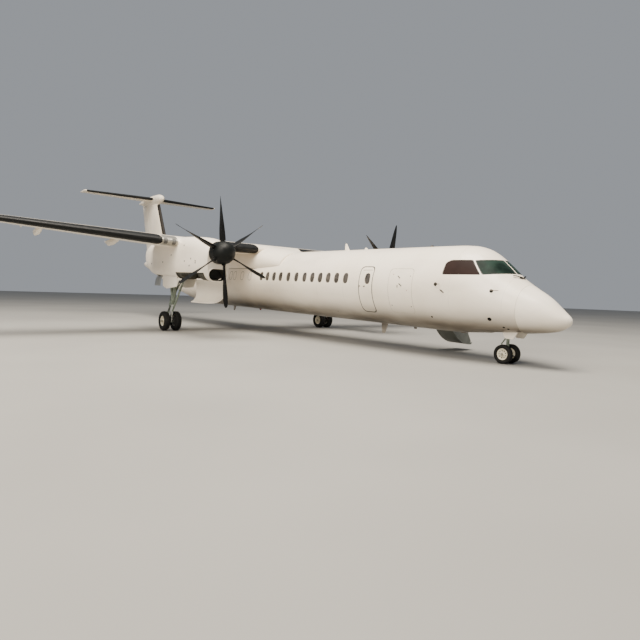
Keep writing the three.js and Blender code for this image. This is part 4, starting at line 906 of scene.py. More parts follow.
# %% Fuselage: seals and outlines
EXIT_SEAL_EXTRA = 14
seal_strips, outlines = [], []
for name, side, *outline in SKIN_PANELS:
    dark = name == "forward_emergency_exit"
    outer_edge = panel_outline(*outline, 10 + (EXIT_SEAL_EXTRA if dark else 0))
    strip = band_on(outer_edge, panel_outline(*outline, -4), side, 1.2)
    (seal_strips if dark else outlines).append(strip)
doorway_edge = panel_outline(*DOORWAY, 100, 22)
seal_strips.append(band_on(doorway_edge, doorway, 1))
for side in (-1, 1):
    seal_strips.append(band_on(side_window_outline(24), side_window_outline(3), side))
    screen = cut(windscreen_tool(side, 3, 24), windscreen_tool(side, 60, 2))
    seal_strips.append(common(hull(-1.5), screen))
mount(gathered("seal_strips", seal_strips), "door_and_window_seals", "airframe", SEAL)

BLANKED = [14120, 14810, 15500, 15890]
blanks = [band_on(window_outline(s, 14), window_outline(s, -4), side, 1) for s in BLANKED for side in (-1, 1)]
mount(gathered("blanks", blanks), "blanked_window_rims", "airframe", RIM)
outlines += [cut(common(hull(-1), slab(1177, 1184)), hull(4))]
mount(gathered("outlines", outlines), "faint_joint_lines", "airframe", JOINT)
print("seal strips", len(seal_strips))

# %% Fuselage: probes, wipers and small aerials


def probe(station, height, side, stand=70, reach=190):
    """Pitot head: a faired stub that stands off the skin and a tube that points forward from it."""
    here, out = on_hull(station, height, side)
    elbow = here + out * stand
    path = [here - out * 8, here + out * stand * 0.6, elbow + [0, -40, 0], elbow + [0, -reach, 0]]
    path = curve_through(path, 7)
    return tube(path, np.linspace(17, 9, len(path)), 16)


def stroke_on(places, side, lift, radius, sides=8):
    """Thin bar through places given by station and height, lifted off the skin by lift mm."""
    ends = [on_hull(s, h, side) for s, h in places]
    return tube([point + out * lift for point, out in ends], radius, sides)


fittings, dark_marks = [], []
for side in (-1, 1):
    fittings += [probe(1824, -28, side, 60, 230), probe(3487, 106, side, 50, 170)]
    bases = [(1824, -28, 52, 5), (3487, 106, 56, 5), (1578, -1021, 34, 2), (1877, -813, 60, 2),
             (3773, -888, 34, 2), (1486, -1062, 34, 2)]
    dark_marks += [disc_on(s, h, side, radius, thick) for s, h, radius, thick in bases]
    dark_marks.append(stroke_on(((3320, -50), (3250, -90), (3190, -140)), side, 3, [12, 18, 12], 10))
    bends = (330, 1560, 425), (230, 1525, 425), (120, 1470, 395), (30, 1440, 372)
    wiper = curve_through([[side * x, s, h] for x, s, h in bends], 6)
    dark_marks.append(tube(wiper, [14] * 12 + [24] * (len(wiper) - 12), 12))
dome = [(0.5, 52), (30, 48), (54, 30), (60, 0), (60, -40), (0.5, -40)]
fittings.append(turned(dome, (-60, 4690, RADIUS), (0, 0, 1), 40))
lozenge = ((9, 0.5), (0, 1), (-9, 0.5), (0, 0))
fittings.append(skin("small_aerial", [[[x * k, 5190 + y * (150 - 40 * d), -RADIUS + 20 - d * 90]
                                       for x, y in lozenge] for k, d in ((1, 0), (0.5, 1))]))
print("fittings", len(fittings))

# %% Fuselage: marks on the doors, and the belly beacon
for ends in (((4980, 330), (4880, 260)), ((4900, 90), (4780, 10)), ((4960, 40), (4960, -40))):
    dark_marks.append(stroke_on(ends, -1, 2, 13))
exit_end, exit_low, exit_high = SKIN_PANELS[0][3:6]
HANDLE_SHARE, DASH_LENGTH, DASH_FALL = 0.43, 70, 0.2
handle_height = exit_high - HANDLE_SHARE * (exit_high - exit_low)
for start in (exit_end - 60, exit_end - 300):
    dash = [(start + step, handle_height - step * DASH_FALL) for step in (0, DASH_LENGTH)]
    dark_marks.append(stroke_on(dash, -1, 2, 15))
dots = ((4450, 330), (4450, -620), (5270, -620), (8300, -1010), (9900, -1040))
dark_marks += [disc_on(s, h, -1, 17, 2) for s, h in dots]
red_marks = [disc_on(s, h, -1, 15, 2) for s, h in ((4560, -120), (5180, 380), (6620, 500))]
line_above = panel_outline(6200, 6640, 508, 520, 4)
dark_marks.append(band_on(line_above, rectangle(6300, 6300.5, 513, 513.5), -1, 0.8))
mount(gathered("fittings", fittings), "probes_wipers_and_aerials", "airframe", STEEL)
mount(gathered("dark_marks", dark_marks), "dark_skin_marks", "airframe", MARK)
mount(gathered("red_marks", red_marks), "red_skin_marks", "airframe", RED_MARK)
dome = [(0.5, 70), (24, 66), (46, 45), (52, 0), (52, -30), (0.5, -30)]
mount(turned(dome, (0, 15200, -RADIUS), (0, 0, -1), 36), "belly_beacon", "airframe", RED_GLASS)
print("marks", len(dark_marks) + len(red_marks))

# %% [markdown]
# ## Wings and tail
# Each surface is a straight loft between two aerofoil sections, as a spar and ribs give it. A moving
# surface has a round nose that sits in a cove, so that the gap stays even as it turns. Flaps are drawn
# shut against a plain gap, because they slide on tracks and stay up here.

# %% Wings and tail: section formulas
CHORD = (1 - np.cos(np.linspace(0, np.pi, 45))) / 2


def foil_at(x, section):
    """Half-thickness and mean line of the aerofoil at a part x of the chord: the four-digit thickness
    law 5t(0.2969 sqrt x - 0.126 x - 0.3516 x^2 + 0.2843 x^3 - 0.1005 x^4), and a parabolic mean line."""
    law = 0.2969 * np.sqrt(x) - 0.126 * x - 0.3516 * x**2 + 0.2843 * x**3 - 0.1005 * x**4
    return 5 * section["thickness"] * law, 4 * section["camber"] * x * (1 - x)


def surface_points(section, x, z):
    """Chord-wise and thickness-wise parts of the chord as points, lying flat or upright."""
    station, across = section["lead"] + x * section["chord"], z * section["chord"]
    flat = np.full_like(station, 1.0)
    if section.get("upright"):
        return np.stack([across, station, flat * section["span"]], -1)
    return np.stack([flat * section["span"], station, section["height"] + across], -1)


def foil_ring(section, start=0.0, end=1.0, grow=0.0):
    """Closed outline of the section between two parts of the chord, thickened all round by grow mm."""
    x = np.unique(np.concatenate([[start], CHORD[(CHORD > start) & (CHORD < end)], [end]]))
    half, mean = foil_at(x, section)
    extra = grow / section["chord"]
    along = x + np.where(x == end, extra, 0) - np.where(x == start, extra, 0)
    upper = surface_points(section, along, mean + half + extra)[::-1]
    lower = surface_points(section, along, mean - half - extra)
    return np.concatenate([upper, lower[1:] if start == 0 and grow == 0 else lower])


def control_ring(section, hinge):
    """Tail of the section behind a half-round nose that is centred on the hinge line."""
    radius, middle = foil_at(np.array(hinge), section)
    x = np.unique(np.concatenate([[hinge], CHORD[CHORD > hinge + 0.02]]))
    half, mean = foil_at(x, section)
    angle = np.radians(np.linspace(-75, 75, 13))[::-1]
    nose = surface_points(section, hinge - radius * np.cos(angle), middle + radius * np.sin(angle))
    upper = surface_points(section, x, mean + half)[::-1]
    return np.concatenate([upper, nose, surface_points(section, x, mean - half)])


def cove_ring(section, hinge, gap=8.0):
    """What the fixed surface loses for a control surface: its nose circle and a running gap."""
    radius, middle = foil_at(np.array(hinge), section)
    clear = radius + gap / section["chord"]
    lip = np.radians(62)
    angle = np.linspace(1, -1, 13) * lip
    nose = surface_points(section, hinge - clear * np.cos(angle), middle + clear * np.sin(angle))
    edge = hinge - clear * np.cos(lip)
    back = surface_points(section, np.array([edge, 1.3, 1.3, edge]), np.array([-0.3, -0.3, 0.3, 0.3]))
    return np.concatenate([nose, back])


def mixed(a, b, part):
    """The section a part of the way from a to b: every number goes in a straight line."""
    return {key: a[key] + part * (b[key] - a[key]) if key != "upright" else a[key] for key in a}


def at_span(pair, span):
    """The section at one span of the straight loft between a pair."""
    return mixed(*pair, (span - pair[0]["span"]) / (pair[1]["span"] - pair[0]["span"]))


def between_spans(pair, start, end, ring):
    """Loft of one kind of ring between two spans."""
    return skin("piece", [ring(at_span(pair, span)) for span in (start, end)])


def nose_at(hinge, ring=control_ring):
    """The control surface's ring, or its cove's, about one hinge line."""
    return lambda section: ring(section, hinge)


def tip_rings(section, end, rounding):
    """Rings that close a tip over its last few mm: each goes from the section towards a thinner end as
    1 - sqrt(1 - b^2), with b the part of the rounding, so the tip is a quarter of an ellipse."""
    bend = np.sin(np.linspace(0, np.pi / 2, 7))
    return [{**mixed(section, end, 1 - np.sqrt(1 - b * b)), "span": section["span"] + b * rounding}
            for b in bend]


print("points round a whole section", 2 * len(CHORD) - 1)

# %% Wings: tables and section formulas
WING_BREAK, HALF_SPAN, TIP_ROUNDING = 4900, 14210, 170
DIHEDRAL = np.tan(np.radians(2.5))
FLAP_HINGE, AILERON_HINGE = 0.74, 0.76
WING_ROOT = dict(span=0.0, lead=13650.0, chord=2750.0, height=1415.0, thickness=0.18, camber=0.02)
WING_KINK = {**WING_ROOT, "span": 4900.0}
WING_TIP = dict(span=HALF_SPAN - TIP_ROUNDING, lead=14120.0, chord=1200.0,
                height=1415 + (HALF_SPAN - TIP_ROUNDING - WING_BREAK) * DIHEDRAL, thickness=0.13, camber=0.02)
INNER, OUTER = (WING_ROOT, WING_KINK), (WING_KINK, WING_TIP)
INNER_FLAP, OUTER_FLAP, AILERON = (1480, 3740), (5080, 10150), (10220, 13560)
FAIRING_SHAPE = table_of(["part", "half", "depth"],
                         [[0, 12, 20], [0.12, 70, 110], [0.4, 105, 210], [0.7, 95, 240], [1, 14, 90]])


def wing_middle(grow):
    """The straight middle of the wing, thickened by grow mm where it is a cutting tool."""
    half = WING_KINK["span"]
    return skin("wing", [foil_ring({**WING_ROOT, "span": span}, 0, 1, grow) for span in (-half, half)])


def flap_fairing(span, section):
    """Canoe under the wing: an oval hull whose depth and width follow their table along it."""
    part = np.linspace(0, 1, 25)
    start, end = section["lead"] + section["chord"] * 0.3, section["lead"] + section["chord"] * 1.08
    under = section["height"] - section["chord"] * 0.05
    half, depth = (np.interp(part, FAIRING_SHAPE["part"], FAIRING_SHAPE[c]) for c in ("half", "depth"))
    table = {"station": start + part * (end - start), "top": under + 60 - part * 70, "bottom": under - depth,
             "half": half, "waist": under - depth * 0.4}
    return skin("canoe", body_rings(table, 32, centre=span))


def flap_gap(section):
    """What the wing loses for a flap: all that lies behind its nose, and a gap of 6 mm."""
    start = FLAP_HINGE - 6 / section["chord"]
    return surface_points(section, np.array([start, 1.3, 1.3, start]), np.array([-0.3, -0.3, 0.3, 0.3]))


def flap(pair, zone, grow=0.0):
    """The rear of the wing's own section over one zone of span."""
    return between_spans(pair, zone[0] - grow, zone[1] + grow,
                         lambda section: foil_ring(section, FLAP_HINGE, 1, grow))


print("wing fairing rows", len(FAIRING_SHAPE["part"]))

# %% Wings: middle, outer panels and control surfaces
middle = wing_middle(0)
gap = between_spans(INNER, INNER_FLAP[0] - 4, INNER_FLAP[1] + 4, flap_gap)
cut(middle, across_plane(gap), gap)
canoe = cut(flap_fairing(2700, WING_ROOT), flap(INNER, INNER_FLAP, 0.3))
joined(middle, across_plane(canoe), canoe)
dress(middle, "inner_wing", "skin", WING_WHITE)

rounded_end = {**WING_TIP, "span": float(HALF_SPAN), "lead": 14380.0, "chord": 780.0, "thickness": 0.05,
               "height": WING_TIP["height"] + 20}
tip = [foil_ring(ring) for ring in tip_rings(WING_TIP, rounded_end, TIP_ROUNDING)]
outer = skin("outer", [foil_ring(at_span(OUTER, WING_BREAK + 0.3)), *tip])
cut(outer, between_spans(OUTER, OUTER_FLAP[0] - 4, OUTER_FLAP[1] + 4, flap_gap),
    between_spans(OUTER, AILERON[0] - 12, AILERON[1] + 12, nose_at(AILERON_HINGE, cove_ring)))
joined(outer, *[cut(flap_fairing(span, at_span(OUTER, span)), flap(OUTER, OUTER_FLAP, 0.3))
                for span in (7070, 9790)])
for side, piece in two_sides(outer):
    dress(piece, f"outer_wing_{side}", "skin", WING_WHITE)
for name, surface_piece in (("inner_flap", flap(INNER, INNER_FLAP)), ("outer_flap", flap(OUTER, OUTER_FLAP)),
                            ("aileron", between_spans(OUTER, *AILERON, nose_at(AILERON_HINGE)))):
    for side, piece in two_sides(surface_piece):
        dress(piece, f"{name}_{side}", "skin", WING_WHITE)
print("wing span", 2 * HALF_SPAN)

# %% [markdown]
# ### De-icing boots
# A boot is rubber sheet glued round the leading edge. It could be a band of dark paint in the finish,
# but its edge is sharp and stands a little proud, so it is drawn as a thin sheet of its own.

# %% Wings: de-icing boots and the bare root piece
BOOT_REACH = (0.16, 0.12)
BOOT_START, BOOT_END, NACELLE_SIDES = 1190, 13560, (3830, 4985)


def edge_sheet(section, reach, proud=3.0, sunk=2.0, steps=19):
    """Closed outline of a sheet glued round the leading edge. It follows the section from a part of the
    chord above, x = reach u^2, round the nose to one below, moved out by proud and in by sunk mm."""
    u = np.linspace(-1, 1, steps)
    x = np.where(u < 0, reach[0], reach[1]) * u**2
    half, mean = foil_at(x, section)
    curve = np.stack([x, mean - np.sign(u) * half], -1) * section["chord"]
    along = np.gradient(curve, axis=0)
    out = np.stack([-along[:, 1], along[:, 0]], -1) / np.linalg.norm(along, axis=1, keepdims=True)
    out *= np.sign(np.sum(out * (curve - [section["chord"] * 0.4, 0])))
    thin = np.clip((1 - np.abs(u)) * 12, 0.15, 1)[:, None]
    both = np.concatenate([curve + out * proud * thin, (curve - out * sunk)[::-1]]) / section["chord"]
    return surface_points(section, both[:, 0], both[:, 1])


def boot(pair, start, end, reach=BOOT_REACH, proud=3.0, radius=150.0, count=24):
    """Sheet from one span to another whose corners are rounded: near each end its reach shrinks as
    the square root of 1 - ((r - d) / r)^2, with d the distance from the end. Its rings lie on straight
    lines between the sheet's outlines at the two end sections, as the ruled skin under it does."""
    near = radius * (1 - np.cos(np.linspace(0, np.pi / 2, 8)))
    inward = np.linspace(start + radius, end - radius, count)[1:-1]
    spans = np.concatenate([start + near, inward, (end - near)[::-1]])
    away = np.minimum(spans - start, end - spans)
    share = np.sqrt(np.clip(1 - (np.clip(radius - away, 0, radius) / radius) ** 2, 0.02, 1))
    parts = (spans - pair[0]["span"]) / (pair[1]["span"] - pair[0]["span"])
    rings = []
    for part, k in zip(parts, share):
        ends = [edge_sheet(section, (reach[0] * k, reach[1] * k), proud) for section in pair]
        rings.append(ends[0] + part * (ends[1] - ends[0]))
    return skin("boot", rings)


boots = [boot(INNER, BOOT_START, NACELLE_SIDES[0] - 30), boot(OUTER, 5622, BOOT_END)]
mount(both_sides(gathered("boots", boots)), "wing_de_icer_boots", "airframe", BOOT)
bare = boot(OUTER, NACELLE_SIDES[1] + 6, 5618, (0.14, 0.12), 1.2, 8.0)
mount(both_sides(bare), "leading_edge_root_pieces", "airframe", ALLOY)
patches = [boot(OUTER, a, b, (0.03, 0.05), 2.4, 20.0) for a, b in ((5060, 5220), (5400, 5560))]
mount(both_sides(gathered("patches", patches)), "leading_edge_patches", "airframe", PATCH)
print("boots, one wing", len(boots))

# %% [markdown]
# ### Small things on the wings
# The ailerons hang on brackets in small fairings. Wicks at the trailing edge let static charge go.
# The lamp covers at the tips are green on the right and red on the left, as on every aircraft.

# %% Wings: lights, wicks and aileron brackets
brackets, wicks = [], []
for span in (10330, 11900, 13400):
    section = at_span(OUTER, span)
    hinge = section["lead"] + section["chord"] * (AILERON_HINGE - 0.14)
    low = section["height"] - section["chord"] * 0.035
    part = np.linspace(0, 1, 15)
    swell = np.sqrt(np.clip(1 - (2 * part - 1) ** 2, 0.02, 1))
    table = {"station": hinge - 120 + part * 340, "top": low + 10 + 0 * part, "bottom": low - 62 * swell,
             "half": 22 * swell, "waist": low - 14 * swell}
    brackets.append(skin("bracket", body_rings(table, 20, centre=span)))
for span in (13620, 13760, 13900):
    section = at_span(OUTER, span)
    end, level = section["lead"] + section["chord"] * 0.995, section["height"]
    wicks.append(tube([[span, end - 30, level], [span, end + 105, level - 4]], [5, 3], 8))
mount(both_sides(gathered("fittings", brackets)), "aileron_bracket_fairings", "airframe", WING_WHITE)
mount(both_sides(gathered("wicks", wicks)), "static_wicks", "airframe", HOSE)
covers = {"right": GREEN_GLASS, "left": RED_GLASS}
for side, sheet in two_sides(boot(OUTER, 13700, 13980, (0.12, 0.12), 2.5, 60.0, 6)):
    mount(sheet, f"navigation_light_{side}", "airframe", covers[side])
print("wing fittings", len(brackets) + len(wicks))

# %% [markdown]
# ### Saddle
# A fairing of glass fibre smooths the wing into the cabin's roof. It is one more hull from a table,
# with a squarer section than the cabin, cut off level along its lower edge.

# %% Wings: the saddle over the fuselage
SADDLE = faired(table_of(["station", "top", "bottom", "half", "waist", "square"], [
    [11950, 1330, 300, 1150, 690, 2.0],
    [12740, 1476, 200, 1225, 780, 2.1],
    [13530, 1580, 164, 1275, 850, 2.35],
    [14360, 1662, 164, 1292, 890, 2.6],
    [15000, 1712, 164, 1290, 900, 2.7],
    [16100, 1716, 164, 1290, 900, 2.7],
    [17400, 1590, 170, 1285, 890, 2.5],
    [18600, 1440, 220, 1260, 800, 2.2],
    [19400, 1330, 300, 1150, 690, 2.0],
]), 10)
saddle = skin("saddle", body_rings(SADDLE, 128))
cut(saddle, hull(-1), box((-3000, 11000, -2000), (3000, 20000, 565)), wing_middle(1))
mount(saddle, "wing_saddle_fairing", "airframe", WHITE, "wing_fuselage_fairing", "paint")
seal_row = (SADDLE["station"] > 12150) & (SADDLE["station"] < 19150)
rim = {name: values[seal_row] for name, values in SADDLE.items()}
part = 1 - ((rim["waist"] - 567) / (rim["waist"] - rim["bottom"])) ** rim["square"]
edge_x = rim["half"] * np.clip(part, 0.01, 1) ** (1 / rim["square"])
edge = np.stack([edge_x + 1, rim["station"], np.full_like(edge_x, 566.0)], -1)
mount(both_sides(tube(edge, 8, 8)), "fairing_edge_seals", "airframe", SEAL)
print("saddle rows", len(SADDLE["station"]))

# %% [markdown]
# ### Tail
# The fin stands on a thin fillet and carries the tailplane through a bullet-shaped fairing. Its rudder
# is in two parts, one hinged on the other, so each part gets a round nose and a cove of its own.

# %% Tail: tables and section formulas
FIN_ROOT, FIN_TOP, RUDDER = 900.0, 5280.0, (1480, 5090)
RUDDER_HINGE, RUDDER_TAB_HINGE, ELEVATOR_HINGE = 0.66, 0.83, 0.66


def fin_section(height):
    """Fin section at a height: its leading and trailing edges lean back at their own slopes."""
    lead, trail = 26752 + 0.5497 * (height - 1250), 30781 + 0.3254 * (height - 1250)
    return dict(upright=True, span=float(height), lead=lead, chord=trail - lead, thickness=0.11, camber=0.0)


def between_heights(low, high, ring):
    """Loft of one kind of ring between two heights of the fin."""
    return skin("upright", [ring(fin_section(low)), ring(fin_section(high))])


BULLET = faired(table_of(FUSELAGE_COLUMNS, [
    [28250, 5510, 5340, 70, 5420],
    [28450, 5620, 5205, 195, 5425],
    [28900, 5715, 5095, 275, 5430],
    [29600, 5729, 5085, 298, 5430],
    [30800, 5706, 5135, 265, 5430],
    [31800, 5625, 5220, 170, 5430],
    [32500, 5525, 5330, 80, 5430],
    [32830, 5465, 5395, 25, 5430],
]), 8)
TAIL_ROOT = dict(span=0.0, lead=29160.0, chord=2050.0, height=5430.0, thickness=0.12, camber=0.0)
TAIL_TIP = dict(span=4575.0, lead=29620.0, chord=1320.0, height=5430.0, thickness=0.11, camber=0.0)
TAIL_END = {**TAIL_TIP, "span": 4635.0, "lead": 29740.0, "chord": 1140.0, "thickness": 0.06}
ELEVATOR = (330, 4440)


def tailplane(grow):
    """Flat loft from tip to tip, with the last hand's breadth of each tip rounded off."""
    sections = [TAIL_ROOT, *tip_rings(TAIL_TIP, TAIL_END, 60.0)]
    port = [foil_ring(section, 0, 1, grow) for section in sections]
    starboard = [ring * np.array([-1, 1, 1]) for ring in port[:0:-1]]
    return skin("tailplane", starboard + port)


def dorsal_fillet():
    """Thin wedge that rises from the crown into the fin's nose, and the nose itself."""
    wedge = prism([[22100, 1300], [27400, 1300], [27650, 2350], [26900, 2050], [25200, 1650]], -8, 8)
    nose = []
    for part, z in ((0, 1250), (1, 2300)):
        half = 140 - part * 60
        nose.append([[0, 24200 + part * 3000, z], [half, 27300, z], [half, 28200, z],
                     [-half, 28200, z], [-half, 27300, z]])
    return joined(wedge, skin("nose", nose))


print("fin height", FIN_TOP - FIN_ROOT)

# %% Tail: fin, rudders, tailplane and elevators
fin = joined(between_heights(FIN_ROOT, FIN_TOP, foil_ring), dorsal_fillet())
cut(fin, between_heights(RUDDER[0] - 28, RUDDER[1] + 28, nose_at(RUDDER_HINGE, cove_ring)))
joined(fin, skin("bullet", body_rings(BULLET, 64)))
cut(fin, hull(-1), tailplane(1))
dress(fin, "fin", "skin", WING_WHITE)
front = between_heights(*RUDDER, nose_at(RUDDER_HINGE))
cut(front, between_heights(RUDDER[0] - 50, RUDDER[1] + 50, nose_at(RUDDER_TAB_HINGE, cove_ring)))
dress(front, "rudder_front", "skin", WING_WHITE)
dress(between_heights(*RUDDER, nose_at(RUDDER_TAB_HINGE)), "rudder_rear", "skin", WING_WHITE)
TAIL = (TAIL_ROOT, TAIL_TIP)
tail = tailplane(0)
gap = between_spans(TAIL, ELEVATOR[0] - 12, ELEVATOR[1] + 12, nose_at(ELEVATOR_HINGE, cove_ring))
cut(tail, across_plane(gap), gap)
dress(tail, "tailplane", "skin", WING_WHITE)
for side, piece in two_sides(between_spans(TAIL, *ELEVATOR, nose_at(ELEVATOR_HINGE))):
    dress(piece, f"elevator_{side}", "skin", WING_WHITE)
FIN = (fin_section(2300.0), fin_section(5150.0))
mount(both_sides(boot(TAIL, 305, 4530, (0.14, 0.14))), "tailplane_de_icer_boots", "airframe", BOOT)
mount(boot(FIN, 2420, 5060, (0.055, 0.055)), "fin_de_icer_boot", "airframe", FIN_BOOT)
print("tailplane span", 2 * TAIL_END["span"])

# %% [markdown]
# ## Nacelles, engines and propellers
# Each nacelle is drawn about its own middle, outboard towards -x, and the port one is its mirror image.
# The lower cowl is cut from the nacelle's own skin, then swung down about its inboard edge.

# %% Nacelles: hull, cowl and bays
NACELLE_OFFSET, HUB_STATION, HUB_HEIGHT = 4395.0, 10910.0, 964.0
NACELLE = faired(table_of(["station", "top", "bottom", "half", "waist", "square"], [
    [11262, 1392, -128, 455, 640, 2.3],
    [11700, 1510, -140, 535, 680, 2.7],
    [12300, 1590, -118, 585, 720, 3.1],
    [13300, 1648, -88, 603, 740, 3.5],
    [14500, 1668, -55, 608, 760, 3.8],
    [15900, 1640, -20, 600, 790, 3.6],
    [16900, 1560, 70, 555, 830, 3.1],
    [17700, 1430, 300, 430, 900, 2.6],
    [18450, 1220, 690, 170, 960, 2.2],
]), 9)
COWL_HINGE = (392.0, -62.0)
COWL_OPEN = 91.0
REFUEL_HINGE = (-430.0, 42.0)
REFUEL_OPEN = 95.0


def nacelle_hull(inset=0.0):
    """The nacelle about its own middle, inset mm inside its skin."""
    return skin("nacelle", body_rings(NACELLE, 112, inset))


def racetrack(sections):
    """Duct between sections given by station, half-width, low and high: a rectangle with round ends."""
    rings = []
    for station, half, low, high in sections:
        radius = (high - low) / 2 - 1
        outline = rounded_box(-half, half, low, high, radius)
        rings.append([[x, station, z] for x, z in outline])
    return skin("duct", rings)


def cowl_room(grow, depth):
    """The lower cowl's room, down to a depth inside the skin."""
    return cut(box((-2000, 11560 - grow, -2000), (392 + grow, 13900 + grow, 190 + grow)), nacelle_hull(depth))


def refuel_room(grow, depth):
    """The refuelling panel's room, down to a depth inside the skin."""
    return cut(box((-430 - grow, 15640 - grow, -2000), (20 + grow, 16340 + grow, 500)), nacelle_hull(depth))


def wing_room(grow):
    """The wing's own shape a little past the end of its middle part, in the nacelle's axes."""
    sections = [{**WING_ROOT, "span": 0.0}, WING_KINK, at_span(OUTER, WING_BREAK + 400)]
    room = skin("wing_room", [foil_ring(section, 0, 1, grow) for section in sections])
    return moved(across_plane_only(room), x=NACELLE_OFFSET)


def nacelle_shell(has_refuel_door):
    """The nacelle less its engine bay, wheel bay, intake, exhaust, cowl, hinge gutter and the wing,
    with the jacking pad below it."""
    shell = nacelle_hull()
    gutter = tube([[392, s, -62] for s in (11552, 13908)], 235, 32)
    cut(gutter, box((400, 0, -2000), (2000, 20000, 2000)))
    tools = [box((-470, 12050, -600), (470, 13580, 1330)), box((-440, 14040, -600), (440, 15580, 1080)),
             racetrack([[11200, 375, -88, 362], [11300, 375, -88, 362], [11960, 320, 10, 320]]),
             racetrack([[17150, 200, 1150, 1430], [19500, 200, 1150, 1430]]),
             cowl_room(8, 43), gutter, wing_room(1)]
    if has_refuel_door:
        tools.append(refuel_room(8, 115))
    cut(shell, *tools)
    return joined(shell, tube([[0, 16450, h] for h in (-12, 108)], 90, 40))


def nacelle_parts(centres, offset):
    """0 on the painted skin, 1 in the bays, 2 in the intake and the exhaust. The bays' dark primer is partly
    painted shade, and so is the intake's black.
    """
    x, s, h = np.abs(centres[:, 0] - offset), centres[:, 1], centres[:, 2]
    inside = depth_in(NACELLE, centres, offset) > 0.012
    intake = (s < 11556) & (s > 11263) & (h < 366) & (h > -92) & (x < 379)
    exhaust = (s > 17100) & (h > 1140) & (x < 205) & inside
    return np.where(intake & inside | exhaust, 2, np.where(inside & (s > 11263), 1, 0))


print("nacelle length", NACELLE["station"][-1] - NACELLE["station"][0])

# %% Nacelles: shells, cowls and the refuelling panel
LATCHES = [(13110, 1260), (12060, 640), (12060, 570), (12420, 730), (12560, 460), (12990, 640), (14300, 900),
           (15200, 620), (16600, 560)]
LIP_RINGS = ((11268, 392), (11298, 389), (11326, 384))


def latch(s, h, sense, offset):
    """Dark dish on the nacelle's skin. It stands square to the skin, whose slope at a point is the
    gradient of |x / half|^n + |rise / reach|^n."""
    c = columns_at(NACELLE, s)
    n, rise = c["square"], h - c["waist"]
    reach = c["top"] - c["waist"] if rise > 0 else c["waist"] - c["bottom"]
    x = skin_x(NACELLE, s, h)
    lean = np.sign(rise) * np.abs(rise / reach) ** (n - 1) / reach
    flat = (x / c["half"]) ** (n - 1) / c["half"]
    dish = [(0.5, -12), (34, -12), (34, 2), (0.5, 4)]
    return turned(dish, (offset + sense * x, s, h), (sense * flat, 0, lean), 20)


nacelles = {"right": nacelle_shell(True), "left": across_plane_only(nacelle_shell(False))}
cowl = swung(common(nacelle_hull(), cowl_room(0, 35)), -COWL_OPEN, *COWL_HINGE)
cowls = {"left": across_plane(cowl), "right": cowl}
closed = common(nacelle_hull(), refuel_room(0, 25))
refuel = moved(swung(closed, REFUEL_OPEN, *REFUEL_HINGE), x=-NACELLE_OFFSET)
dress(refuel, "refuel_panel_door", "shell", DOOR_LINING, "panel_inside")
SIDES = {"left": 1, "right": -1}
for word, side in SIDES.items():
    offset = side * NACELLE_OFFSET
    shell = moved(nacelles[word], x=offset)
    dress(shell, f"nacelle_{word}", "skin", [NACELLE_WHITE, PRIMER_GRIME_AND_SHADE, SOOT_AND_PAINTED_SHADE],
          inner=lambda centres: nacelle_parts(centres, offset))
    dress(moved(cowls[word], x=offset), f"lower_cowl_{word}", "shell", COWL_WHITE)
    lips = []
    for place, half in LIP_RINGS:
        outline = rounded_box(-half, half, -104, 379, 240, 12)
        lips.append(tube([[offset + x, place, z] for x, z in outline], 24, 16, closed=True))
    mount(gathered("lip", lips), f"intake_lip_{word}", "airframe", COWL_WHITE)
    # A black plate across the intake's throat stands for the shade deep inside it: painted shade.
    plug = racetrack([[11700, 360, -60, 345], [11715, 360, -60, 345]])
    mount(moved(plug, x=offset), f"intake_shade_plug_{word}", "airframe", SOOT_AND_PAINTED_SHADE)
    buttons = [latch(s, h, sense, offset) for s, h in LATCHES for sense in (-1, 1)]
    mount(gathered("buttons", buttons), f"nacelle_{word}_latches", "airframe", MARK)
print("nacelles", {word: len(obj.data.polygons) for word, obj in nacelles.items()})

# %% [markdown]
# ### Propellers
# A blade is a twisted loft: its section turns from fore and aft at the root to nearly flat at the tip.
# The spinner is spun sheet, a shell of revolution with a hole for each blade.

# %% Propellers: spinner and blades
SPINNER_RADIUS, SPINNER_FRONT, SPINNER_BACK = 432.0, 10420.0, 11230.0
BLADE = table_of(["radius", "chord", "thick", "twist"], [
    [442, 325, 92, 105],
    [640, 340, 66, 103],
    [940, 320, 42, 98],
    [1270, 300, 30, 88],
    [1610, 283, 22, 78],
    [1880, 212, 16, 71],
    [2010, 140, 12, 67],
    [2055, 50, 8, 66],
])
BLADE_FOIL = np.array([[-0.5, 0], [-0.42, 0.32], [-0.2, 0.5], [0.1, 0.42],
                       [0.5, 0], [0.1, -0.3], [-0.2, -0.38], [-0.42, -0.28]])
BLADE_COUNT, REST_TURN = 6, {"left": 11.0, "right": -5.3}


def blade():
    """Blade along +h: the section is drawn through its eight points by a closed cubic, and is scaled and
    turned along the radius by faired columns."""
    columns = faired(BLADE, 6)
    around = np.arange(32) / 4
    near = (BLADE_FOIL[(around.astype(int) + n) % 8] for n in (-1, 0, 1, 2))
    foil = smooth_step(*near, (around % 1)[:, None])
    angle = np.radians(columns["twist"])[:, None]
    c, d = foil[None, :, 0] * columns["chord"][:, None], foil[None, :, 1] * columns["thick"][:, None]
    x = c * np.cos(angle) - d * np.sin(angle)
    s = HUB_STATION + c * np.sin(angle) + d * np.cos(angle)
    rings = np.stack([x, s, np.broadcast_to(columns["radius"][:, None], x.shape)], -1)
    root = tube([[0, HUB_STATION, h] for h in (150, 300, 470)], [88, 86, 80], 24)
    return joined(skin("blade", rings), root)


def about_hub(obj, degrees):
    """The piece turned about the propeller's own axis."""
    obj.data.transform(Matrix.Rotation(np.radians(degrees), 4, "Y"))
    return obj


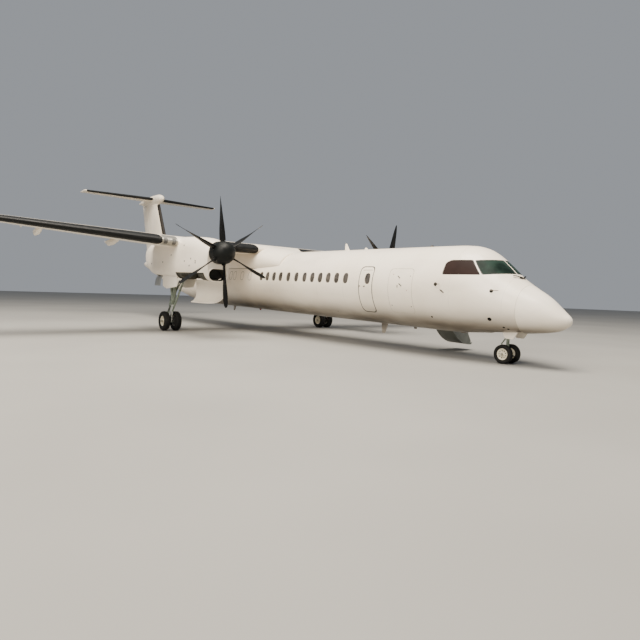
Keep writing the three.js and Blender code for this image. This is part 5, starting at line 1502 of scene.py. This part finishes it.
def spinner():
    """Thin shell of revolution, radius = R sin(a)^0.85 against depth L cos(a), with six blade holes."""
    a = np.linspace(0.02, np.pi / 2, 22)
    length = HUB_STATION - SPINNER_FRONT
    nose = np.stack([SPINNER_RADIUS * np.sin(a) ** 0.85, HUB_STATION - length * np.cos(a)], -1)
    outer = np.vstack([nose, [[SPINNER_RADIUS - 4, SPINNER_BACK]]])
    inner = np.vstack([[[SPINNER_RADIUS - 18, SPINNER_BACK]], (nose + [-14, 21])[::-1]])
    inner[:, 0] = np.maximum(inner[:, 0], 3)
    shell = turned(np.vstack([outer, inner]), (0, 0, 0), (0, 1, 0), 96)
    holes = [about_hub(tube([[0, HUB_STATION, 250], [0, HUB_STATION, 600]], 92, 40), 360 / BLADE_COUNT * k)
             for k in range(BLADE_COUNT)]
    return cut(shell, *holes)


for word, side in SIDES.items():
    turn, offset = REST_TURN[word], side * NACELLE_OFFSET
    cone = moved(about_hub(spinner(), turn), x=offset, h=HUB_HEIGHT)
    dress(cone, f"spinner_{word}", "shell", SPINNER_PAINT, "spinner")
    blades = [about_hub(blade(), turn + 360 / BLADE_COUNT * k) for k in range(BLADE_COUNT)]
    drum = [[5, 10760], [230, 10760], [230, 11100], [130, 11100], [130, 11260], [5, 11260]]
    drawn = gathered("blades", [turned(drum, (0, 0, 0), (0, 1, 0), 48), *blades])
    node = f"propeller_blades_{word}"
    mount(moved(drawn, x=offset, h=HUB_HEIGHT), f"propeller_{word}_blades", BODY_OF[node], BLADE_COAT, node,
          "blade", crease=50)
print("propeller radius", BLADE["radius"][-1])

# %% [markdown]
# ## Landing gear and airstair
# The main leg trails its axle from a forged strut, with a drag brace forward and a side brace on each
# side. All wheels are cast halves bolted together, in smooth-shouldered tyres with straight grooves.

# %% Gear: wheels and tyres
MAIN_TYRE = dict(radius=432.0, width=273.0, rim=228.0)
NOSE_TYRE = dict(radius=279.5, width=165.0, rim=166.0)
MAIN_TWIN, NOSE_TWIN = 260.0, 205.0


def above_ground(height, station):
    """Height above the fuselage axis of a point that is so high above the ground."""
    return (height - AXIS_HEIGHT_AT_NOSE - station * SIN) / COS


MAIN_AXLE = (15720.0, above_ground(432.0, 15720.0))
NOSE_AXLE = (1780.0, above_ground(279.5, 1780.0))
TYRE_SIDES, HUB_HOLES = 44, 9
TYRE_SHAPE = [(0.0, 0.66), (0.16, 0.93), (0.48, 1.0), (0.80, 0.90), (0.96, 0.62), (1.0, 0.0)]


def tyre(size, x, axle):
    """Ring of rubber: across the tread its outline runs from rim to rim by a table of parts of the
    height and of the half-width, mirrored, and it is closed by the bead seat."""
    height, half = size["radius"] - size["rim"], size["width"] / 2
    shape = [(size["rim"] + part * height, wide * half) for part, wide in TYRE_SHAPE]
    profile = shape + [(r, -w) for r, w in shape[-2::-1]]
    return turned(profile, (x, *axle), (1, 0, 0), TYRE_SIDES, looped=True)


def wheel_hub(size, x, side, axle, bore):
    """Cast wheel: a dished disc with a rim flange, holes round it and a nave with a cap."""
    rim, half = size["rim"], size["width"] / 2
    parts = [(0.28, 0.60), (0.32, 0.46), (0.52, 0.42), (0.80, 0.50), (0.88, 0.64), (0.97, 0.70), (1.0, 0.62),
             (0.99, -0.58), (0.9, -0.62), (0.8, -0.3), (0.3, -0.24)]
    outline = [(bore, half * 0.60), *[(rim * r, half * w) for r, w in parts], (bore, -half * 0.5)]
    hub = turned([(r, side * w) for r, w in outline], (x, *axle), (1, 0, 0), 72, looped=True)
    angle = np.arange(HUB_HOLES) / HUB_HOLES * 2 * np.pi
    places = np.stack([axle[0] + rim * 0.64 * np.cos(angle), axle[1] + rim * 0.64 * np.sin(angle)], -1)
    return cut(hub, *[tube([[x - 200, *place], [x + 200, *place]], rim * 0.15, 18) for place in places])


def wheel(node, size, x, side, axle, bore):
    """A tyre and its hub, both on the body of one wheel node."""
    dress(tyre(size, x, axle), node, "tyre", TYRE, "tyre", crease=60)
    mount(wheel_hub(size, x, side, axle, bore), node + "_hub", BODY_OF[node], HUB, crease=28)


for word, side in SIDES.items():
    for twin, sense in (("outer", side), ("inner", -side)):
        x = side * NACELLE_OFFSET + sense * MAIN_TWIN
        wheel(f"main_wheel_{twin}_{word}", MAIN_TYRE, x, sense, MAIN_AXLE, 54)
    wheel(f"nose_wheel_{word}", NOSE_TYRE, side * NOSE_TWIN, side, NOSE_AXLE, 36)
print("wheels", 3 * len(SIDES))

# %% [markdown]
# ### Legs and doors
# A leg is forged and machined, so it is drawn from round bars and blocks that a union melts into one.
# The ends of its braces are held in the walls of the bay. Doors are flat sheets with rounded corners.

# %% Gear: main legs
MAIN_TRUNNION, STRUT_FOOT = (15225.0, 260.0), 15590.0


def main_leg():
    """Right main leg about the nacelle's middle: strut, trunnion bar, axle boss, drag brace, torque
    links and side braces."""
    ya, za = MAIN_AXLE
    yt, zt = MAIN_TRUNNION

    def part(k):
        """The strut's point a part k of the way from its foot to the trunnion."""
        return [0, STRUT_FOOT + (yt - STRUT_FOOT) * k, za + (zt - za) * k]
    wall, brace = 439.7, 370.0
    apex = [0, ya + 270, za + 430]
    pieces = [
        tube([part(0.34), part(0.36), part(0.7), part(1)], [88, 92, 92, 90], 40),
        tube([part(0.345), part(0.35), part(0.40), part(0.405)], [104, 112, 112, 104], 40),
        tube([[-wall, yt, zt], [wall, yt, zt]], 72, 32),
        tube([part(0), [0, ya, za]], 74, 24),
        tube([[-110, ya, za], [110, ya, za]], 83, 32),
        tube([part(0.18), [0, 14170, 110]], [38, 46], 24),
        box((-170, 14040.3, 50), (170, 14220, 180)),
        tube([[0, ya + 40, za + 30], apex], [34, 26], 16),
        tube([apex, part(0.4)], [26, 34], 16),
    ]
    for x in (-brace, brace):
        pieces += [tube([part(0.5), [x, yt, 20]], 30, 20), tube([[x, yt, -8], [x, yt, zt]], 30, 20)]
    return joined(pieces[0], *pieces[1:])


def main_piston():
    """The bright lower part of the strut, up to 0.42 of the way to the trunnion."""
    foot, pin = np.array([0, STRUT_FOOT, MAIN_AXLE[1]]), np.array([0, *MAIN_TRUNNION])
    return tube([foot, foot + (pin - foot) * 0.42], 62, 40)


def axle(reach, centre, radius):
    """Bar across the wheels, with its ends chamfered."""
    return tube([[-reach, *centre], [-reach + 6, *centre], [reach - 6, *centre], [reach, *centre]],
                [radius - 6, radius, radius, radius - 6], 28)


OUTER_DOOR = [[14060, 150], [15560, 150], [15560, -400], [15138, -510], [14060, -391]]
INNER_DOOR = [[14045, 150], [15560, 150], [15560, -400], [15138, -450], [14338, -410], [14060, -100]]
for word, side in SIDES.items():
    offset = side * NACELLE_OFFSET
    leg = main_leg() if side < 0 else across_plane_only(main_leg())
    dress(moved(leg, x=offset), f"main_leg_{word}", "forging", GEAR_ENAMEL, "gear")
    mount(moved(main_piston(), x=offset), f"main_leg_{word}_piston", "airframe", CHROME)
    mount(moved(axle(426, MAIN_AXLE, 52), x=offset), f"main_leg_{word}_axle", "airframe", ALLOY)
    for where, sense, outline in (("outer", -1, OUTER_DOOR), ("inner", 1, INNER_DOOR)):
        x = offset - side * sense * 431
        door = prism(rounded(outline, 60), x - 7, x + 7)
        dress(door, f"main_gear_door_{where}_{word}", "panel", COWL_WHITE)
print("main axle above the axis", round(MAIN_AXLE[1]))

# %% Gear: nose leg
NOSE_TRUNNION = (1900.0, -760.0)
COLLAR_RISE = 560.0


def nose_leg():
    """Fixed part of the nose leg: strut, trunnion bar, drag brace and the frame between them."""
    ya, za = NOSE_AXLE
    yt, zt = NOSE_TRUNNION
    pieces = [
        tube([[0, ya, za + COLLAR_RISE], [0, ya + 40, -628]], 66, 32),
        tube([[-299.7, yt, zt], [299.7, yt, zt]], 42, 24),
        tube([[0, ya, za + 640], [0, 1290, -800]], 34, 20),
        box((-120, 1190.3, -860), (120, 1320, -740)),
        tube([[-70, yt - 30, zt], [-70, ya + 20, zt - 20]], 40, 20),
        tube([[70, yt - 30, zt], [70, ya + 20, zt - 20]], 40, 20),
        tube([[-70, ya + 20, zt - 20], [70, ya + 20, zt - 20]], 44, 24),
    ]
    return joined(pieces[0], *pieces[1:])


def nose_fork():
    """Steered part of the nose leg: piston, collar, axle boss and torque links."""
    ya, za = NOSE_AXLE
    top = za + COLLAR_RISE - 8
    pieces = [
        tube([[0, ya, za + 55], [0, ya, top - 70]], 46, 32),
        tube([[0, ya, top - 82], [0, ya, top]], 72, 40),
        tube([[-80, ya, za], [80, ya, za]], 56, 32),
        box((-55, ya - 110, za - 40), (55, ya, za + 40)),
        tube([[0, ya + 40, za + 20], [0, ya + 200, za + 270]], [22, 18], 16),
        tube([[0, ya + 200, za + 270], [0, ya + 40, za + 490]], [18, 22], 16),
    ]
    return joined(pieces[0], *pieces[1:])


dress(nose_leg(), "nose_leg", "forging", GEAR_ENAMEL, "gear")
STEERED = "nose_steered_axle"
mount(nose_fork(), "nose_fork_forging", BODY_OF[STEERED], GEAR_ENAMEL, STEERED, "gear")
mount(axle(305.5, NOSE_AXLE, 34), "nose_axle_bar", BODY_OF[STEERED], ALLOY)
NOSE_DOOR = [[1335, -1080], [1800, -1080], [1800, -1170], [1694, -1350], [1459, -1350], [1335, -1160]]
for word, side in SIDES.items():
    x = side * 288
    dress(prism(rounded(NOSE_DOOR, 40), x - 10, x + 10), f"nose_gear_door_{word}", "panel", COWL_WHITE)
print("nose axle above the axis", round(NOSE_AXLE[1]))

# %% [markdown]
# ### Brakes, hoses and lamps
# These small things make a leg look real. Brake packs sit inside the wheels with their pistons round
# them. Hoses run from the bay to the brakes in slack curves, each drawn through a few points.

# %% Gear: brakes, hoses and links
for word, side in SIDES.items():
    offset = side * NACELLE_OFFSET
    ya, za = MAIN_AXLE
    brakes, hoses, rods = [], [], []
    for sense in (-1, 1):
        x = sense * (MAIN_TWIN - 62)
        pack = [(60, -46), (168, -46), (172, -40), (172, 40), (168, 46), (60, 46)]
        brakes.append(turned(pack, (x, ya, za), (1, 0, 0), 48, looped=True))
        for a in np.arange(6) / 6 * 2 * np.pi:
            place = ya + 118 * np.cos(a), za + 118 * np.sin(a)
            brakes.append(tube([[x - sense * 70, *place], [x - sense * 30, *place]], 22, 14))
        path = [[sense * 95, ya + 60, za + 60], [sense * 120, ya + 30, za + 360],
                [sense * 96, ya - 170, za + 760], [sense * 104, ya - 300, za + 1250],
                [sense * 90, ya - 420, za + 1800]]
        hoses.append(tube(curve_through(path, 8), 11, 10))
    path = [[30, ya + 210, za + 350], [60, ya + 120, za + 640], [40, ya - 60, za + 900],
            [60, ya - 190, za + 1240]]
    hoses.append(tube(curve_through(path, 8), 8, 8))
    rods.append(tube([[-side * 150, 15890, 30], [-side * 140, 15940, -740], [-side * 60, 15985, -1200],
                      [-side * 20, ya + 180, za + 330]], [20, 24, 24, 16], 14))
    for sense in (-1, 1):
        rods.append(tube([[sense * 210, 15300, -120], [sense * 118, 15420, -620], [sense * 60, 15400, -980],
                          [sense * 40, 15500, -1290]], [22, 24, 26, 20], 14))
    kinds = (brakes, BRAKE, "brakes"), (hoses, HOSE, "hoses"), (rods, GEAR_ENAMEL, "links")
    for made, finish, what in kinds:
        mount(moved(gathered(what, made), x=offset), f"main_gear_{what}_{word}", "airframe", finish)
print("main gear bars", len(brakes) + len(hoses) + len(rods), "a side")

# %% Gear: what hangs on the nose leg
ya, za = NOSE_AXLE
lamp_axis = (0, ya - 88, za + 640), (0, -1, 0.1), 36
bowl = [(2, -60), (62, -52), (80, 0), (80, 18), (74, 20), (70, 2), (50, -40), (2, -46)]
mount(turned(bowl, *lamp_axis), "taxi_lamp_shell", "airframe", ALLOY)
lens = [(2, 8), (40, 5), (69, 0), (69, -3), (2, -3)]
mount(turned(lens, *lamp_axis), "taxi_lamp_lens", "airframe", CHROME)
hoses, steer, tow = [], [], []
for sense in (-1, 1):
    path = [[sense * 52, ya + 30, za + 520], [sense * 78, ya + 66, za + 640], [sense * 56, ya + 60, za + 780],
            [sense * 60, ya + 90, za + 900]]
    hoses.append(tube(curve_through(path, 8), 9, 8))
    steer.append(tube([[sense * 96, ya + 30, za + 590], [sense * 96, ya + 30, za + 760]], 30, 20))
    tow.append(tube([[sense * 60, ya - 70, za - 30], [sense * 60, ya - 150, za - 40], [0, ya - 235, za - 44]],
                    [20, 18, 16], 12))
steer.append(tube([[-96, ya + 30, za + 660], [96, ya + 30, za + 660]], 26, 16))
mount(gathered("hoses", hoses), "nose_gear_hoses", "airframe", HOSE)
mount(gathered("steer", steer), "steering_actuators", "airframe", GEAR_ENAMEL)
mount(gathered("tow", tow), "tow_fitting", BODY_OF[STEERED], STEEL)
print("nose leg bars", len(hoses) + len(steer) + len(tow))

# %% Nacelles: exhaust lips and cooling vents
VENT_START, VENT_PITCH, VENT_COUNT = 12300, 90, 4
for word, side in SIDES.items():
    offset = side * NACELLE_OFFSET
    rear = np.array([[offset + x, 17158, z] for x, z in rounded_box(-206, 206, 1144, 1420, 130, 8)])
    rear[:, 1] = np.interp(rear[:, 2], [1144, 1420], [17960, 17330])
    mount(tube(rear, 13, 12, closed=True), f"exhaust_lip_{word}", "airframe", STEEL)
    vents = []
    for s in VENT_START + VENT_PITCH * np.arange(VENT_COUNT):
        c, xs = columns_at(NACELLE, s), np.array([290, 320, 350])
        hs = c["waist"] + (c["top"] - c["waist"]) * (1 - (xs / c["half"]) ** c["square"]) ** (1 / c["square"])
        vents += [tube([[offset + sense * x, s, h - 4] for x, h in zip(xs, hs)], 13, 12) for sense in (-1, 1)]
    mount(gathered("vents", vents), f"nacelle_vents_{word}", "airframe", MARK)
print("vents", len(vents), "a side")

# %% [markdown]
# ### Airstair
# The door is a curved piece of the cabin's side with steps built into it. It could be drawn open, but
# drawing it shut first makes its skin fit the doorway. It is then swung down about its sill hinge.

# %% Airstair: shell, side walls and treads
STAIR_HINGE, STAIR_OPEN = (905.0, -1006.0), 114.5
TREADS = dict(count=4, x=230.0, h=-60.0, run=255.0, rise=150.0, depth=235.0, thick=30.0)


def airstair():
    """Drawn shut about the sill hinge, then swung open: the skin, two side walls and level treads."""
    shell = common(copy_of(HULL), prism_to(60, panel_outline(*DOORWAY, DOORWAY_CORNER), 1))
    heights = np.linspace(-880, 560, 13)
    edge = [[1080, 600], [1063, 560], [860, 250], [840, 0], [810, -300], [790, -600], [800, -880]]
    skin_edge = np.stack([np.sqrt((RADIUS - 60) ** 2 - heights**2) + 25, heights], -1)
    outline = np.vstack([skin_edge, edge])
    walls = [skin("wall", [[[x, y, h] for x, h in outline] for y in (start, start + 30)])
             for start in (4605, 5215)]
    treads = []
    for k in range(TREADS["count"]):
        x, h = TREADS["x"] + k * TREADS["run"], TREADS["h"] - k * TREADS["rise"]
        tread = box((x, 4620, h - TREADS["thick"]), (x + TREADS["depth"], 5230, h))
        treads.append(moved(swung(tread, -STAIR_OPEN, 0, 0), x=STAIR_HINGE[0], h=STAIR_HINGE[1]))
    return swung(joined(shell, *treads, *walls), STAIR_OPEN, *STAIR_HINGE)


print("treads", TREADS["count"], "rise", TREADS["rise"])


def stair_inside(centres):
    """The faces that look away from the outer skin: nearer the shut skin's own middle than its outside."""
    turn = np.radians(-STAIR_OPEN)
    x, h = centres[:, 0] - STAIR_HINGE[0], centres[:, 2] - STAIR_HINGE[1]
    shut_x = STAIR_HINGE[0] + x * np.cos(turn) + h * np.sin(turn)
    shut_h = STAIR_HINGE[1] - x * np.sin(turn) + h * np.cos(turn)
    return np.hypot(shut_x, shut_h) < RADIUS - 8


# The faces inside the stair take the darker grey: painted shade.
mount(airstair(), "airstair_shell", BODY_OF["passenger_airstair_door"], [STAIR, STAIR_INSIDE_IN_SHADE],
      "passenger_airstair_door", "airstair", inner=stair_inside)

# %% [markdown]
# ### Engines
# Only the underside of an engine shows, through the open cowl. It is a casing of revolution with
# flanges, seven pipes along it and three gearboxes under it.

# %% Engines: what shows in the open bay
CASING = [[5, 12060], [150, 12060], [175, 12110], [260, 12160], [270, 12420], [300, 12440], [300, 12480],
          [268, 12500], [262, 12900], [292, 12920], [292, 12955], [240, 12980], [225, 13400], [260, 13430],
          [260, 13560], [5, 13560]]
PIPE_ANGLES = [205, 228, 250, 270, 292, 316, 338]
PIPE_ROUTE = [(12130, 230, 0), (12230, 318, 0), (12700, 322, 36), (13120, 306, -24), (13380, 240, 0)]
for word, side in SIDES.items():
    offset = side * NACELLE_OFFSET
    dress(turned(CASING, (offset, 0, 880), (0, 1, 0), 64), f"engine_{word}", "casing", CASTING, "engine")
    pipes, boxes = [], []
    for turn in np.radians(PIPE_ANGLES):
        radial = np.array([np.cos(turn), 0, np.sin(turn)])
        twist = np.array([-np.sin(turn), 0, np.cos(turn)])
        path = [[0, s, 880] + radial * out + twist * aside for s, out, aside in PIPE_ROUTE]
        pipes.append(tube(curve_through(path, 7), 13, 10))
    for s, deep in ((12260, 150), (12700, 200), (13180, 130)):
        block = np.array(rounded_box(-120, 120, 470, 470 + deep, 30, 4))
        boxes.append(skin("box", [[[x, y, z] for x, z in block] for y in (s, s + 210)]))
    mount(moved(gathered("pipes", pipes), x=offset), f"engine_{word}_pipes", "airframe", PIPE)
    mount(moved(gathered("boxes", boxes), x=offset), f"engine_{word}_accessories", "airframe", BRAKE)
print("pipes", len(pipes), "boxes", len(boxes), "on each engine")

# %% [markdown]
# ## Studio
# A plain pale floor under soft light, seen from where the photograph was taken: eye height, off the
# right side of the nose. Two large round lamps stand for an open sky, so that shadows stay soft.

# %% Studio: camera and lamps
EYE_PLACE, EYE_LENS = (-13.3994, -22.5975, 1.7987), 28.678
EYE_YAW, EYE_PITCH, EYE_ROLL = 0.6749, -0.0488, 0.0322


def studio_camera():
    """A camera that looks along (sin yaw cos pitch, cos yaw cos pitch, sin pitch), rolled about it."""
    camera = bpy.data.cameras.new("view")
    camera.lens, camera.sensor_width = EYE_LENS, 36.0
    camera.clip_end = 500.0
    eye = bpy.data.objects.new("view", camera)
    bpy.context.scene.collection.objects.link(eye)
    yaw, pitch, roll = EYE_YAW, EYE_PITCH, EYE_ROLL
    ahead = np.array([np.sin(yaw) * np.cos(pitch), np.cos(yaw) * np.cos(pitch), np.sin(pitch)])
    right = np.array([np.cos(yaw), -np.sin(yaw), 0.0])
    up = np.cross(right, ahead)
    across, along = right * np.cos(roll) + up * np.sin(roll), up * np.cos(roll) - right * np.sin(roll)
    turn = Matrix(np.stack([across, along, -ahead], 1).tolist()).to_4x4()
    eye.matrix_world = Matrix.Translation(EYE_PLACE) @ turn
    bpy.context.scene.camera = eye


LAMP_TARGET = np.array([0, 0, 2])


def lamp(name, place, size, power):
    """Round area lamp that faces the middle of the scene: its size in metres, its power in watts."""
    light = bpy.data.lights.new(name, "AREA")
    light.shape, light.size, light.energy, light.color = "DISK", size, power, linear("#fff6e8")[:3]
    obj = bpy.data.objects.new(name, light)
    bpy.context.scene.collection.objects.link(obj)
    aim = (np.array(place) - LAMP_TARGET) / np.linalg.norm(np.array(place) - LAMP_TARGET)
    side = np.cross([0, 0, 1.0], aim)
    side /= np.linalg.norm(side)
    turn = Matrix(np.stack([side, np.cross(aim, side), aim], 1).tolist()).to_4x4()
    obj.matrix_world = Matrix.Translation(place) @ turn


studio_camera()
lamp("sky_box", (-9, -12, 38), 32, 43000)
lamp("side_box", (-32, -14, 22), 24, 12500)
world = bpy.data.worlds.new("studio")
bpy.context.scene.world = world
world.use_nodes = True
backdrop = next(n for n in world.node_tree.nodes if n.type == "BACKGROUND")
backdrop.inputs["Color"].default_value = linear("#c9ced5")
backdrop.inputs["Strength"].default_value = 0.55
print("eye height", EYE_PLACE[2])

# %% Studio: floor
FLOOR_REACH = 160
floor_mesh = bpy.data.meshes.new("floor")
corners = [[x * FLOOR_REACH, y * FLOOR_REACH, 0] for x, y in ((-1, -1), (1, -1), (1, 1), (-1, 1))]
floor_mesh.from_pydata(corners, [], [[0, 1, 2, 3]])
floor = bpy.data.objects.new("floor", floor_mesh)
bpy.context.scene.collection.objects.link(floor)
# The floor is poured screed, sealed matt: two pale greys in clouds some metres across.
floor_finish, tree, shader = surface("pale_studio_floor", 0.75)
place = add(tree, "TexCoord", out="Object")
cloud = add(tree, "TexNoise", {"Vector": place, "Scale": 0.15, "Detail": 3.0})
share = add(tree, "MapRange", {0: cloud, 1: 0.3, 2: 0.7}, **SMOOTH)
wire(tree, shader, add(tree, "Mix", {0: share, 6: linear("#8f8d88"), 7: linear("#979590")}, **COLOURS))
floor_mesh.materials.append(floor_finish)

# %% Clearing away the working hull
bpy.data.objects.remove(HULL)
